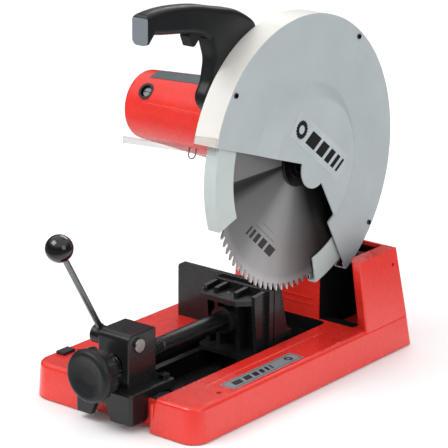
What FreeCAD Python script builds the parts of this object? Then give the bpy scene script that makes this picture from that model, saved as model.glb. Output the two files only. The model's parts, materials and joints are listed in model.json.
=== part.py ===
"""Bench-top metal cutting chop saw with a 14 inch toothed blade, built as separate pieces.

Frame: +X is the operator's right, -Y is the front, +Z is up. The origin is on the floor,
under the vise screw's axis, half way along the base. All lengths are in millimetres, all angles in degrees.
"""
import FreeCAD, Part
import math
import os

V = FreeCAD.Vector
X_AXIS = V(1, 0, 0)
Y_AXIS = V(0, 1, 0)
Z_AXIS = V(0, 0, 1)

# ---------------------------------------------------------------- driving dimensions
# Base casting
BASE_LENGTH = 487.0
BASE_LEFT = -149.0
BASE_RIGHT = 136.5
PAN_BOTTOM_Z = 2.0
DECK_Z = 48.0
PAN_LEAN = 6.0
PAN_LEAN_LEFT = 2.0
PAN_WALL = 5.0
PAN_CORNERS_LOW = (10.0, 24.0, 30.0, 24.0)
PAN_CORNERS_HIGH = (8.0, 21.0, 24.0, 21.0)
DECK_EDGE_R = 6.0
TROUGH_LEFT = -60.0
TROUGH_RIGHT = 66.5
TROUGH_FRONT = -224.0
TROUGH_REAR = 131.0
NICHE_HALF_WIDTH = 60.0
TRAY_LEFT = -44.0
TRAY_TOP_Z = 28.0
TRAY_DISH_R = 16.0
HOLE_X = (-126.0, 114.0)
FOOT_X = (-124.0, 112.0)
HOLE_FRONT_Y = -171.0
HOLE_REAR_Y = 79.0
HOLE_R = 3.5

# Tower that carries the head
TOWER_TOP_Z = 148.7
TOWER_LEFT = -98.0
TOWER_WALL = 6.0
GAP_LEFT = 50.0
GAP_RIGHT = 107.0
EAR_RIGHT = 123.1
ROOF_LEFT = 103.0
ARM_SLOT = (-30.0, 28.0)
NOTCH_Z = 108.0
STOP_Y = 143.0
M8_R = 4.0

# Axes along X: (y, z)
PIVOT = (202.8, 126.2)
ARBOR = (58.2, 297.5)
GEAR_MODULE = 1.25
GEAR_TEETH = 47
PINION_TEETH = 8
MOTOR = (ARBOR[0], ARBOR[1] + GEAR_MODULE * (GEAR_TEETH + PINION_TEETH) / 2.0)
PIVOT_R = 8.0
RUN_CLEARANCE = 0.05

# Blade and guards
BLADE_X = 63.1
BLADE_R = 177.8
BLADE_PLATE = 2.2
TIP_WIDTH = 2.6
BLADE_TEETH = 90
ARBOR_R = 12.7
FLANGE_R = 36.0
GUARD_CENTRE = (61.7, 292.6)
GUARD_R = 202.0
GUARD_FRONT_R = 186.0
FRONT_ARC_FROM = 115.0
GUARD_BACK_X = 33.7
GUARD_FACE_X = 72.9
COVER_PLATE = 1.5
BOSS_FACE_X = 90.0
BOSS_BASE_R = 111.0
BOSS_TOP_R = 91.0
LOBE_R = 30.0
COVER_SCREW_R = 194.0
MOUTH_FRONT = 162.0
MOUTH_REAR = -59.5
MOUTH_CORNER_R = 196.8
SHALLOW_FROM = -38.0
SHALLOW_BACK_X = 53.0
LOWER_GUARD_R = 182.2
LOWER_GUARD_IN_R = 145.4
LOWER_GUARD_RIGHT = 69.0
REAR_GUARD_R = 187.0
REAR_GUARD_IN_R = 148.5
LOWER_GUARD_END = 199.0
LOWER_GUARD_SPAN = 100.0

# Motor
MOTOR_LEFT_X = -204.0
MOTOR_RIGHT_X = -22.0
MOTOR_END_R = 48.3
MOTOR_SLOPE = 0.0598
MOTOR_BORE_R = 45.0
BRUSH_X = -167.0
CAP_R = 12.0
BRUSH_ANGLE = 142.7
CORD_X = -120.0

DEFLECTOR_DROOP = 3.7

# Handle
GRIP_X = 21.2
GRIP_HALF_WIDTH = 12.5
NOSE_Y = -214.0
TRIGGER_PIVOT = (-99.8, 496.0)

# Vise
SCREW_Z = 78.0
SCREW_R = 12.5
WHEEL_FRONT_Y = -297.0
WHEEL_SEAT_Y = WHEEL_FRONT_Y + 11.0
WHEEL_BACK_Y = WHEEL_FRONT_Y + 33.0
FENCE_FACE_Y = 22.3
FENCE_RIGHT = 56.0
FENCE_LEFT = -113.0
FENCE_TOP_Z = 125.6
JAW_GAP = 2.3
JAW_PLATE = 9.0
JAW_LEFT = -44.0
BLOCK_X = (-25.0, 26.0)
BLOCK_Y = (-245.0, -190.0)
BLOCK_TOP_Z = 123.0
BRACKET_TOP_Z = 52.5
CAM_AXIS = (-225.0, 107.0)
LEVER_X = -32.0
HUB_LEFT = -46.0
BALL_CENTRE = (-307.0, 244.6)
BALL_R = 18.0


# ---------------------------------------------------------------- small helpers
def box(x0, x1, y0, y1, z0, z1):
    return Part.makeBox(x1 - x0, y1 - y0, z1 - z0, V(x0, y0, z0))


def cyl_x(x0, x1, centre, radius):
    return Part.makeCylinder(radius, x1 - x0, V(x0, centre[0], centre[1]), X_AXIS)


def cyl_y(x, z, y0, y1, radius):
    return Part.makeCylinder(radius, y1 - y0, V(x, y0, z), Y_AXIS)


def cyl_z(x, y, z0, z1, radius):
    return Part.makeCylinder(radius, z1 - z0, V(x, y, z0), Z_AXIS)


def ring_x(x0, x1, centre, r_out, r_in):
    return cyl_x(x0, x1, centre, r_out).cut(cyl_x(x0 - 1, x1 + 1, centre, r_in))


def rod(start, end, radius):
    """Round rod between two points."""
    a = V(*start)
    b = V(*end)
    return Part.makeCylinder(radius, (b - a).Length, a, b - a)


def polar(centre, radius, angle):
    """(y, z) at a radius and an angle from +Y towards +Z."""
    a = math.radians(angle)
    return (centre[0] + radius * math.cos(a), centre[1] + radius * math.sin(a))


def prism_x(points, x0, x1):
    """Polygon of (y, z) points, extruded along X."""
    wire = Part.makePolygon([V(x0, y, z) for y, z in points + points[:1]])
    return Part.Face(wire).extrude(V(x1 - x0, 0, 0))


def prism_z(points, z0, z1):
    wire = Part.makePolygon([V(x, y, z0) for x, y in points + points[:1]])
    return Part.Face(wire).extrude(V(0, 0, z1 - z0))


def wedge_x(x0, x1, centre, far, start, end):
    """Straight-sided wedge about an X axis, from angle start to angle end."""
    steps = max(2, int((end - start) / 30.0) + 1)
    points = [centre]
    for i in range(steps + 1):
        points.append(polar(centre, far, start + (end - start) * i / steps))
    return prism_x(points, x0, x1)


def sector_x(x0, x1, centre, radius, start, end):
    """Pie slice about an X axis, from angle start to angle end."""
    return wedge_x(x0, x1, centre, radius * 1.5, start, end).common(cyl_x(x0, x1, centre, radius))


def ring_sector_x(x0, x1, centre, r_out, r_in, start, end):
    return sector_x(x0, x1, centre, r_out, start, end).cut(cyl_x(x0 - 1, x1 + 1, centre, r_in))


def revolve_x(profile, centre):
    """Closed (x, r) profile turned about an X axis through centre."""
    points = [V(x, centre[0], centre[1] + r) for x, r in profile + profile[:1]]
    face = Part.Face(Part.makePolygon(points))
    return face.revolve(V(0, centre[0], centre[1]), X_AXIS, 360)


def revolve_y(profile, x, z):
    """Closed (y, r) profile turned about a Y axis through (x, z)."""
    points = [V(x, y, z + r) for y, r in profile + profile[:1]]
    return Part.Face(Part.makePolygon(points)).revolve(V(x, 0, z), Y_AXIS, 360)


def rounded_wire(x0, x1, y0, y1, radii, z):
    """Rounded rectangle in a horizontal plane; radii run from the rear right corner by way of the rear left."""
    a, b, c, d = radii
    lines = []
    corners = [(x1 - a, y1 - a, 0, a), (x0 + b, y1 - b, 90, b), (x0 + c, y0 + c, 180, c), (x1 - d, y0 + d, 270, d)]
    arcs = []
    for cx, cy, start, r in corners:
        pts = []
        for k in (0, 45, 90):
            a = math.radians(start + k)
            pts.append(V(cx + r * math.cos(a), cy + r * math.sin(a), z))
        arcs.append(pts)
    for i, pts in enumerate(arcs):
        lines.append(Part.Arc(*pts).toShape())
        lines.append(Part.makeLine(pts[2], arcs[(i + 1) % 4][0]))
    return Part.Wire(Part.__sortEdges__(lines))


def loft_box(lower, upper, z0, z1, r0, r1):
    """Rounded block whose plan changes from lower to upper: each is (x0, x1, y0, y1), with four corner radii."""
    return Part.makeLoft([rounded_wire(*lower, r0, z0), rounded_wire(*upper, r1, z1)], True, True)


def fillet_where(shape, radius, test):
    """Round every edge whose middle point passes the test; keep the shape if rounding fails."""
    edges = []
    for edge in shape.Edges:
        middle = edge.valueAt((edge.FirstParameter + edge.LastParameter) / 2.0)
        if test(middle, edge):
            edges.append(edge)
    if not edges:
        return shape
    rounded = shape.makeFillet(radius, edges)
    return rounded if rounded.isValid() else shape


def hex_prism(centre, axis, flats, height):
    """Hexagon bar from centre along axis."""
    r = flats / math.sqrt(3.0)
    points = [V(r * math.cos(math.radians(60 * i)), r * math.sin(math.radians(60 * i)), 0) for i in range(7)]
    shape = Part.Face(Part.makePolygon(points)).extrude(V(0, 0, height))
    shape.Placement = FreeCAD.Placement(V(*centre), FreeCAD.Rotation(Z_AXIS, axis))
    return shape


def bolt(head_at, axis, shank_r, length, flats, head):
    """Hex bolt: head_at is under the head, the shank runs against the axis."""
    a = V(*axis)
    start = V(*head_at)
    shank = Part.makeCylinder(shank_r, length, start, a * -1)
    return hex_prism(head_at, a, flats, head).fuse(shank)


def socket_screw(head_at, axis, shank_r, length, head_r, head):
    """Round headed screw with a hexagon socket."""
    a = V(*axis)
    start = V(*head_at)
    body = Part.makeCylinder(head_r, head, start, a).fuse(Part.makeCylinder(shank_r, length, start, a * -1))
    mouth = start + a * (head * 0.4)
    return body.cut(hex_prism((mouth.x, mouth.y, mouth.z), a, head_r * 0.95, head))


def group(solids):
    return Part.Compound(solids)


# ---------------------------------------------------------------- base
def tower_solid():
    """Outer form of the tower: a left housing and a right ear that stands further forward."""
    low = (-106.0, 60.0, 131.0, 241.0)
    high = (TOWER_LEFT, 60.0, 134.0, 232.0)
    left = loft_box(low, high, 30.0, TOWER_TOP_Z, (8.0,) * 4, (8.0,) * 4)
    left = left.common(box(-200.0, GAP_LEFT, 0.0, 300.0, 0.0, 200.0))
    ear_low = [(GAP_RIGHT, 150.0), (111.4, 145.3), (131.7, 134.3), (132.0, 233.5)]
    ear_low += [(GAP_LEFT, 233.5), (GAP_LEFT, 227.0), (GAP_RIGHT, 227.0)]
    ear_high = [(GAP_RIGHT, 128.0), (113.8, 118.0), (124.1, 124.3), (EAR_RIGHT, 212.0)]
    ear_high += [(GAP_LEFT, 212.0), (GAP_LEFT, 207.5), (GAP_RIGHT, 207.5)]
    wires = []
    for corners, z in ((ear_low, 36.0), (ear_high, TOWER_TOP_Z)):
        wires.append(Part.makePolygon([V(x, y, z) for x, y in corners + corners[:1]]))
    ear = Part.makeLoft(wires, True, True).common(box(0.0, 200.0, 0.0, 300.0, DECK_Z - 3.0, 200.0))
    ear = fillet_where(ear, 2.5, lambda p, e: p.x > 112 and p.y < 140 and 50 < p.z < TOWER_TOP_Z - 1)
    roof = box(ROOF_LEFT, GAP_RIGHT + 2.0, 133.0, 209.0, TOWER_TOP_Z - 5.0, TOWER_TOP_Z)
    return left, ear.fuse(roof)


def base_casting():
    """Pan and tower in one casting: open below, with a chip trough and four bolt-down bosses."""
    half_l = BASE_LENGTH / 2.0
    low = (BASE_LEFT, BASE_RIGHT, -half_l, half_l)
    high = (BASE_LEFT + PAN_LEAN_LEFT, BASE_RIGHT - PAN_LEAN, -half_l + PAN_LEAN, half_l - PAN_LEAN)
    pan = loft_box(low, high, PAN_BOTTOM_Z, DECK_Z, PAN_CORNERS_LOW, PAN_CORNERS_HIGH)
    pan = fillet_where(pan, DECK_EDGE_R, lambda p, e: p.z > DECK_Z - 0.1)
    w = PAN_WALL
    inner_low = (low[0] + w, low[1] - w, low[2] + w, low[3] - w)
    inner_high = (high[0] + w, high[1] - w, high[2] + w, high[3] - w)
    radii_low = tuple(max(r - w, 3.0) for r in PAN_CORNERS_LOW)
    radii_high = tuple(max(r - w, 3.0) for r in PAN_CORNERS_HIGH)
    pan = pan.cut(loft_box(inner_low, inner_high, PAN_BOTTOM_Z - 1.0, DECK_Z - w, radii_low, radii_high))

    left, ear = tower_solid()
    w = TOWER_WALL
    lower = (-106.0 + w, 60.0, 131.0 + w, 241.0 - w)
    upper = (TOWER_LEFT + w, 60.0, 134.0 + w, 232.0 - w)
    inside = loft_box(lower, upper, 29.0, TOWER_TOP_Z - w, (5.0,) * 4, (5.0,) * 4)
    inside = inside.common(box(-200.0, GAP_LEFT - w, 0.0, 300.0, 0.0, 200.0))
    left = left.cut(inside)
    shape = pan.fuse([left, ear])

    # Chip trough, front niche for the vise bracket, and the well under the guard gap.
    trough = box(TROUGH_LEFT, TROUGH_RIGHT, TROUGH_FRONT, TROUGH_REAR, PAN_BOTTOM_Z - 2, DECK_Z + 5)
    trough = fillet_where(trough, 12.0, lambda p, e: p.y > 130 and abs(p.z - 24.5) < 3)
    shape = shape.cut(trough)
    niche = box(-NICHE_HALF_WIDTH, NICHE_HALF_WIDTH, -half_l - 5, TROUGH_FRONT - 5, PAN_BOTTOM_Z - 2, DECK_Z + 5)
    shape = shape.cut(niche)
    shape = shape.cut(box(TROUGH_LEFT, TROUGH_RIGHT, -half_l - 5, TROUGH_FRONT + 1, 40.0, DECK_Z + 5))
    shape = shape.cut(box(GAP_LEFT + 1.0, GAP_RIGHT - 1.0, 151.0, 222.0, PAN_BOTTOM_Z - 2, DECK_Z + 2))
    shape = shape.cut(box(-92.0, GAP_LEFT - TOWER_WALL, 141.0, 228.0, 30.0, DECK_Z + 2))

    # Walls that close the trough from the pan's hollow, the niche's back, and the red ledge.
    wall = 4.0
    floor = PAN_BOTTOM_Z + 2.0
    walls = [
        box(TROUGH_LEFT - wall, TROUGH_LEFT, TROUGH_FRONT, TROUGH_REAR + wall, PAN_BOTTOM_Z, DECK_Z - 4),
        box(TROUGH_RIGHT, TROUGH_RIGHT + wall, TROUGH_FRONT, TROUGH_REAR + wall, PAN_BOTTOM_Z, DECK_Z - 4),
        box(TROUGH_LEFT - wall, TROUGH_RIGHT + wall, TROUGH_REAR, TROUGH_REAR + wall, PAN_BOTTOM_Z, DECK_Z - 4),
        box(TROUGH_LEFT - wall, TROUGH_RIGHT + wall, TROUGH_FRONT - wall, TROUGH_FRONT, PAN_BOTTOM_Z, 40.0),
        box(-NICHE_HALF_WIDTH - wall, -NICHE_HALF_WIDTH, -half_l + 2, TROUGH_FRONT, PAN_BOTTOM_Z, 40.0),
        box(NICHE_HALF_WIDTH, NICHE_HALF_WIDTH + wall, -half_l + 2, TROUGH_FRONT, PAN_BOTTOM_Z, 40.0),
        box(TROUGH_LEFT, TRAY_LEFT, TROUGH_FRONT, TROUGH_REAR, floor, floor + 3.0),
    ]
    shape = shape.fuse(walls)

    # Bolt-down bosses and raised bead on the right of the deck.
    for x in HOLE_X:
        for y in (HOLE_FRONT_Y, HOLE_REAR_Y):
            shape = shape.fuse(cyl_z(x, y, PAN_BOTTOM_Z, DECK_Z - 1.0, 9.0))
    for x in HOLE_X:
        for y in (HOLE_FRONT_Y, HOLE_REAR_Y):
            shape = shape.cut(cyl_z(x, y, -1.0, DECK_Z + 2.0, HOLE_R))
    for x, y in fence_bolt_places():
        shape = shape.cut(cyl_z(x, y, 30.0, DECK_Z + 2.0, M8_R + 0.1))
    groove = cyl_y(86.0, DECK_Z + 1.2, -165.0, 95.0, 2.6)
    shape = shape.cut(groove)

    # Foot sockets in the four corners.
    for x, y in foot_places():
        shape = shape.fuse(cyl_z(x, y, PAN_BOTTOM_Z, DECK_Z - 1.0, 14.0))
        shape = shape.cut(cyl_z(x, y, PAN_BOTTOM_Z - 1, 12.0, 11.0))

    # Two cast ribs across the tower's front wall.
    for z in (67.0, 76.0):
        shape = shape.fuse(box(-11.0, 40.0, 131.0, 134.0, z - 0.8, z + 0.8))

    # Slot for the swing arm, the pivot bores, and the stop bolt's seat.
    slot_x0, slot_x1 = ARM_SLOT
    shape = shape.cut(box(slot_x0, slot_x1, 120.0, 300.0, NOTCH_Z, 200.0))
    shape = shape.fuse(box(-10.0, 10.0, 132.0, 151.0, NOTCH_Z - 18.0, NOTCH_Z))
    shape = shape.cut(cyl_z(0.0, STOP_Y, NOTCH_Z - 30.0, NOTCH_Z + 1.0, M8_R))
    shape = shape.fuse(ring_x(TOWER_LEFT + 2.0, TOWER_LEFT + 12.0, PIVOT, 16.0, PIVOT_R))
    shape = shape.fuse(ring_x(GAP_LEFT - 14.0, GAP_LEFT, PIVOT, 16.0, PIVOT_R))
    ear_bore_end = 119.0
    shape = shape.cut(cyl_x(TOWER_LEFT - 12.0, ear_bore_end, PIVOT, PIVOT_R))
    shape = shape.cut(cyl_x(ear_bore_end - 1.0, EAR_RIGHT + 12.0, PIVOT, 2.6))
    return shape.removeSplitter()


def foot_places():
    return [(x, y) for x in FOOT_X for y in (-219.0, 219.0)]


def rubber_feet():
    feet = []
    for x, y in foot_places():
        foot = cyl_z(x, y, 0.0, 12.0, 11.0).cut(cyl_z(x, y, -1.0, 5.0, 5.5))
        feet.append(foot.cut(cyl_z(x, y, 4.0, 13.0, 2.5)))
    return group(feet)


def foot_screws():
    return group([socket_screw((x, y, 5.0), (0, 0, -1), 2.5, 7.0, 5.0, 3.0) for x, y in foot_places()])


def chip_tray():
    """Black sheet tray in the bottom of the trough, with a pressed round dish that rests on the bench."""
    x0, x1 = TRAY_LEFT + 0.2, TROUGH_RIGHT - 0.2
    y0, y1 = TROUGH_FRONT + 0.2, TROUGH_REAR - 0.2
    tray = box(x0, x1, y0, y1, PAN_BOTTOM_Z + 1.0, TRAY_TOP_Z)
    tray = tray.cut(box(x0 + 1.5, x1 - 1.5, y0 + 1.5, y1 - 1.5, PAN_BOTTOM_Z + 2.5, TRAY_TOP_Z + 1.0))
    corner = box(x0 - 1, x1 + 1, y1 - 13.0, y1 + 1, 0, 60)
    keep = cyl_z(x1 - 12.0, y1 - 12.0, 0, 60, 12.0).fuse(box(x0 + 12.0, x1 - 12.0, y1 - 14.0, y1, 0, 60))
    keep = keep.fuse(cyl_z(x0 + 12.0, y1 - 12.0, 0, 60, 12.0)).fuse(box(x0, x1, y1 - 14.0, y1 - 12.0, 0, 60))
    tray = tray.cut(corner.cut(keep)).fuse(cyl_z(0.0, 0.0, 0.0, PAN_BOTTOM_Z + 2.5, TRAY_DISH_R))
    return tray.cut(cyl_z(0.0, 0.0, 1.5, PAN_BOTTOM_Z + 3.5, TRAY_DISH_R - 1.5))


def deck_nameplate():
    """Blank plate let into the right of the deck."""
    plate = box(99.0, 123.0, -150.0, 0.0, DECK_Z, DECK_Z + 0.6)
    return fillet_where(plate, 2.0, lambda p, e: abs(p.z - DECK_Z - 0.3) < 0.01)


def side_plug():
    """Rubber plug on the left edge of the deck."""
    return box(-140.0, -126.0, -200.0, -178.0, DECK_Z, DECK_Z + 4.0)


def front_bracket():
    """Casting in the niche that carries the vise block: apron, two side flanges and a top plate."""
    x0, x1 = -50.0, 45.0
    y0 = -262.0
    apron_back = y0 + 9.0
    flange_back = TROUGH_FRONT - 4.3
    plate_back = -176.0
    apron = box(x0, x1, y0, apron_back, 11.0, BRACKET_TOP_Z)
    arch = [(-24.0, 10.0), (11.0, 10.0), (1.0, 33.0), (-14.0, 33.0)]
    wire = Part.makePolygon([V(x, y0 - 1, z) for x, z in arch + arch[:1]])
    apron = apron.cut(Part.Face(wire).extrude(V(0, 20.0, 0)))
    side = 7.0
    flanges = [
        box(x0, x0 + side, y0, flange_back, 11.0, BRACKET_TOP_Z),
        box(x1 - side, x1, y0, flange_back, 11.0, BRACKET_TOP_Z),
        box(x0, x0 + side, y0, plate_back, 41.0, BRACKET_TOP_Z),
        box(x1 - side, x1, y0, plate_back, 41.0, BRACKET_TOP_Z),
        box(x0, x1, y0, plate_back, BRACKET_TOP_Z - 6.0, BRACKET_TOP_Z),
    ]
    shape = apron.fuse(flanges).removeSplitter()
    shape = fillet_where(shape, 5.0, lambda p, e: p.y < y0 + 0.1 and abs(p.z - 31.75) < 2 and (p.x < x0 + 1 or p.x > x1 - 1))
    shape = fillet_where(shape, 3.0, lambda p, e: p.y < y0 + 0.1 and p.z > BRACKET_TOP_Z - 0.1)
    shape = fillet_where(shape, 8.0, lambda p, e: abs(p.y - flange_back) < 0.1 and abs(p.z - 11.0) < 0.1)
    for x, y in bracket_bolt_places():
        shape = shape.cut(cyl_z(x, y, 30.0, 60.0, 4.1))
    for x, y in block_bolt_places():
        shape = shape.cut(cyl_z(x, y, 30.0, 60.0, 3.1))
    return shape


def bracket_bolt_places():
    return [(-40.0, -183.5), (34.0, -183.5)]


def block_bolt_places():
    return [(x, y) for x in (-14.0, 15.0) for y in (-238.5, -196.5)]


def trough_bars():
    """Steel bars in the trough: a cross bar under the bracket, and two rails that the jaw's foot slides along."""
    bar = box(TROUGH_LEFT + 0.3, TROUGH_RIGHT - 6.0, -190.0, -177.0, 38.5, BRACKET_TOP_Z - 11.6)
    bar = bar.fuse(box(-42.5, 37.5, -190.0, -177.0, 38.5, BRACKET_TOP_Z - 6.0))
    for x, y in bracket_bolt_places():
        bar = bar.cut(cyl_z(x, y, 30.0, 60.0, M8_R))
    z0, z1 = PAN_BOTTOM_Z + 2.5, 30.0
    return group([bar, box(-40.0, -30.0, -180.0, 60.0, z0, z1), box(40.0, 50.0, -180.0, 60.0, z0, z1)])


def vise_block():
    """Hollow block that guides the screw and holds the quick-release cam."""
    x0, x1 = BLOCK_X
    y0, y1 = BLOCK_Y
    block = box(x0, x1, y0, y1, BRACKET_TOP_Z, BLOCK_TOP_Z)
    block = fillet_where(block, 9.0, lambda p, e: p.y < y0 + 0.1 and p.z > BLOCK_TOP_Z - 0.1)
    block = fillet_where(block, 4.0, lambda p, e: p.y > y1 - 0.1 and p.z > BLOCK_TOP_Z - 0.1)
    block = fillet_where(block, 2.0, lambda p, e: abs(p.z - BLOCK_TOP_Z) < 0.1 and 5 < e.Length)
    block = block.cut(box(-17.0, 17.0, y0 + 12.0, y1 - 8.0, BRACKET_TOP_Z + 8.0, BLOCK_TOP_Z - 5.0))
    block = block.cut(cyl_y(0.0, SCREW_Z, y0 - 1, y1 + 1, SCREW_R + RUN_CLEARANCE))
    block = block.cut(cyl_y(0.0, SCREW_Z, y0 - 1, y0 + 5.0, SCREW_R + 5.0))
    block = block.cut(cyl_x(x0 - 1, x1 + 1, CAM_AXIS, 7.0 + RUN_CLEARANCE))
    for x, y in block_bolt_places():
        block = block.cut(cyl_z(x, y, BRACKET_TOP_Z - 1, BRACKET_TOP_Z + 7.0, 3.0))
    return block


def block_bolts():
    bolts = [socket_screw((x, y, BRACKET_TOP_Z - 6.0), (0, 0, -1), 3.0, 12.0, 4.9, 5.0) for x, y in block_bolt_places()]
    return group(bolts)


def half_nut():
    """Half nut under the screw, inside the block."""
    nut = box(-16.5, 16.5, -232.0, -199.0, BRACKET_TOP_Z + 8.2, SCREW_Z - 2.0)
    return nut.cut(cyl_y(0.0, SCREW_Z, -240.0, -190.0, SCREW_R + RUN_CLEARANCE))


def fence():
    """Fixed fence: face plate, foot on the deck, and gussets behind."""
    y0 = FENCE_FACE_Y
    y1 = y0 + 9.0
    plate = box(FENCE_LEFT, FENCE_RIGHT, y0, y1, DECK_Z, FENCE_TOP_Z)
    plate = fillet_where(plate, 7.0, lambda p, e: p.x < FENCE_LEFT + 0.1 and p.z > FENCE_TOP_Z - 0.1)
    foot = box(FENCE_LEFT + 2.0, FENCE_RIGHT, y1 - 1, 62.0, DECK_Z, DECK_Z + 8.0)
    shape = plate.fuse(foot)
    for x in (FENCE_LEFT + 2.0, -25.0, FENCE_RIGHT - 8.0):
        gusset = [(y1 - 1, DECK_Z), (54.0, DECK_Z), (y1 + 5.0, FENCE_TOP_Z - 3.0), (y1 - 1, FENCE_TOP_Z - 3.0)]
        shape = shape.fuse(prism_x(gusset, x, x + 8.0))
    for x, y in fence_bolt_places():
        shape = shape.cut(cyl_z(x, y, DECK_Z - 1, DECK_Z + 10, 4.1))
    return shape.removeSplitter()


def fence_bolt_places():
    return [(-92.0, 48.0), (-72.0, 48.0)]


def frame_bolts():
    """M8 bolts of the bracket and the fence, and the depth stop under the swing arm."""
    places = [(x, y, BRACKET_TOP_Z, 17.5) for x, y in bracket_bolt_places()]
    places += [(x, y, DECK_Z + 8.0, 20.0) for x, y in fence_bolt_places()]
    places.append((0.0, STOP_Y, NOTCH_Z + 3.0, 24.0))
    return group([bolt((x, y, z), (0, 0, 1), M8_R, length, 13.0, 5.3) for x, y, z, length in places])


def pivot_pin():
    return cyl_x(TOWER_LEFT - 3.0, 118.5, PIVOT, PIVOT_R)


def return_spring():
    """Torsion spring that holds the head up: coil around the pivot pin with two straight legs."""
    wire_r = 1.8
    coil_r = 14.0
    turns = 9
    pitch = 4.4
    x0 = -84.0
    helix = Part.makeHelix(pitch, pitch * turns, coil_r)
    start = V(coil_r, 0, 0)
    profile = Part.Wire(Part.makeCircle(wire_r, start, V(0, 1, pitch / (2 * math.pi * coil_r))))
    coil = Part.Wire(helix).makePipeShell([profile], True, True)
    coil.Placement = FreeCAD.Placement(V(x0, *PIVOT), FreeCAD.Rotation(Z_AXIS, X_AXIS))
    return coil


# ---------------------------------------------------------------- vise: jaw, screw, lever
def movable_jaw():
    """Casting with a face plate, a hub for the screw, a shelf, ribs and a foot on the rails."""
    face_y = FENCE_FACE_Y - JAW_GAP
    back_y = face_y - JAW_PLATE
    shape = box(JAW_LEFT, FENCE_RIGHT, back_y, face_y, 30.05, 122.0)
    shape = fillet_where(shape, 4.0, lambda p, e: p.x < JAW_LEFT + 0.1 and p.z > 121.9)
    foot = box(JAW_LEFT + 1.0, 54.0, -26.0, back_y + 1, 30.05, 36.0)
    foot = fillet_where(foot, 14.0, lambda p, e: p.y < -25.9 and abs(p.z - 33.0) < 0.2)
    hub = cyl_y(0.0, SCREW_Z, -22.0, back_y + 1, 19.0)
    shelf_low = [(JAW_LEFT, back_y + 1), (JAW_LEFT, -10.0), (-30.0, -30.0), (30.0, -30.0), (50.0, -8.0), (50.0, back_y + 1)]
    shelf = prism_z(shelf_low, 106.0, 113.0)
    pin_boss = cyl_z(0.0, -8.0, SCREW_Z + 15.0, 107.0, 6.0)
    parts = [foot, hub, shelf, pin_boss]
    for x in (-38.0, -20.0, 14.0, 44.0):
        rib = [(back_y + 1, 36.0), (-8.0, 36.0), (-14.0, 108.0), (-14.0, 119.0), (back_y + 1, 121.0)]
        parts.append(prism_x(rib, x, x + 6.0))
    shape = shape.fuse(parts).removeSplitter()
    bore_end = back_y + 3.0
    shape = shape.cut(cyl_y(0.0, SCREW_Z, -23.0, bore_end, SCREW_R + RUN_CLEARANCE))
    return shape.cut(cyl_z(0.0, -8.0, SCREW_Z + 10.0, 114.0, 2.5))


def jaw_pin():
    """Grub pin in the hub that keeps the screw's end groove."""
    return cyl_z(0.0, -8.0, SCREW_Z + 11.2, 113.5, 2.5)


def vise_screw():
    """Screw bar: plain towards the jaw, thread grooves towards the handwheel."""
    end_y = FENCE_FACE_Y - JAW_GAP - JAW_PLATE + 2.95
    shoulder = WHEEL_BACK_Y + 0.1
    profile = [(WHEEL_SEAT_Y, 0.0), (WHEEL_SEAT_Y, 8.0), (shoulder, 8.0), (shoulder, SCREW_R)]
    y = shoulder + 5.0
    while y < -155.0:
        profile += [(y, SCREW_R), (y + 1.0, SCREW_R - 1.4), (y + 2.0, SCREW_R - 1.4), (y + 3.0, SCREW_R)]
        y += 5.0
    profile += [(-10.6, SCREW_R), (-10.6, SCREW_R - 2.0), (-5.4, SCREW_R - 2.0), (-5.4, SCREW_R)]
    profile += [(end_y, SCREW_R), (end_y, 0.0)]
    return revolve_y(profile, 0.0, SCREW_Z)


def handwheel():
    """Dished round knob with a deep lobed rim behind the dish."""
    front = WHEEL_FRONT_Y
    dish = [(front + 6.0, 0.0), (front + 6.0, 13.0), (front + 4.0, 21.0), (front, 28.0), (front + 2.0, 33.0)]
    dish += [(front + 8.0, 35.8), (front + 13.0, 34.5), (front + 13.0, 0.0)]
    wheel = revolve_y(dish, 0.0, SCREW_Z)
    lobed = cyl_y(0.0, SCREW_Z, front + 12.0, front + 28.0, 34.0)
    lobes = 8
    for i in range(lobes):
        a = 2 * math.pi * i / lobes
        x = 38.5 * math.cos(a)
        z = SCREW_Z + 38.5 * math.sin(a)
        lobed = lobed.cut(cyl_y(x, z, front + 11.0, front + 29.0, 9.5))
    lobed = fillet_where(lobed, 2.0, lambda p, e: p.y > front + 27.9)
    hub = cyl_y(0.0, SCREW_Z, front + 20.0, WHEEL_BACK_Y, 15.0)
    wheel = wheel.fuse([lobed, hub])
    return wheel.cut(cyl_y(0.0, SCREW_Z, WHEEL_SEAT_Y, WHEEL_BACK_Y + 10.0, 8.0))


def cam_shaft():
    """Quick-release shaft across the block, with an eccentric lobe and a round head on the right."""
    x0, x1 = BLOCK_X
    shaft = cyl_x(HUB_LEFT, x1 + 0.1, CAM_AXIS, 7.0).cut(ring_x(-15.0, 15.0, CAM_AXIS, 8.0, 4.8))
    head = cyl_x(x1 + 0.1, x1 + 4.0, CAM_AXIS, 9.5)
    return shaft.fuse(fillet_where(head, 1.2, lambda p, e: p.x > x1 + 3.9))


def lever_hub():
    """Clamp hub on the cam shaft's left end that holds the lever rod."""
    hub = ring_x(HUB_LEFT, BLOCK_X[0] - 1.0, CAM_AXIS, 12.5, 7.0)
    a = V(LEVER_X, *CAM_AXIS)
    b = V(LEVER_X, *BALL_CENTRE)
    direction = (b - a).normalize()
    socket = Part.makeCylinder(5.8, 9.0, a + direction * 8.0, direction)
    hub = hub.fuse(socket)
    hub = hub.cut(cyl_x(HUB_LEFT - 1.0, BLOCK_X[0], CAM_AXIS, 7.0))
    return hub.cut(Part.makeCylinder(4.0, 60.0, a + direction * 7.5, direction))


def lever_rod():
    a = V(LEVER_X, *CAM_AXIS)
    b = V(LEVER_X, *BALL_CENTRE)
    direction = (b - a).normalize()
    length = (b - a).Length
    return Part.makeCylinder(4.0, length - 7.5, a + direction * 7.5, direction)


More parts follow.
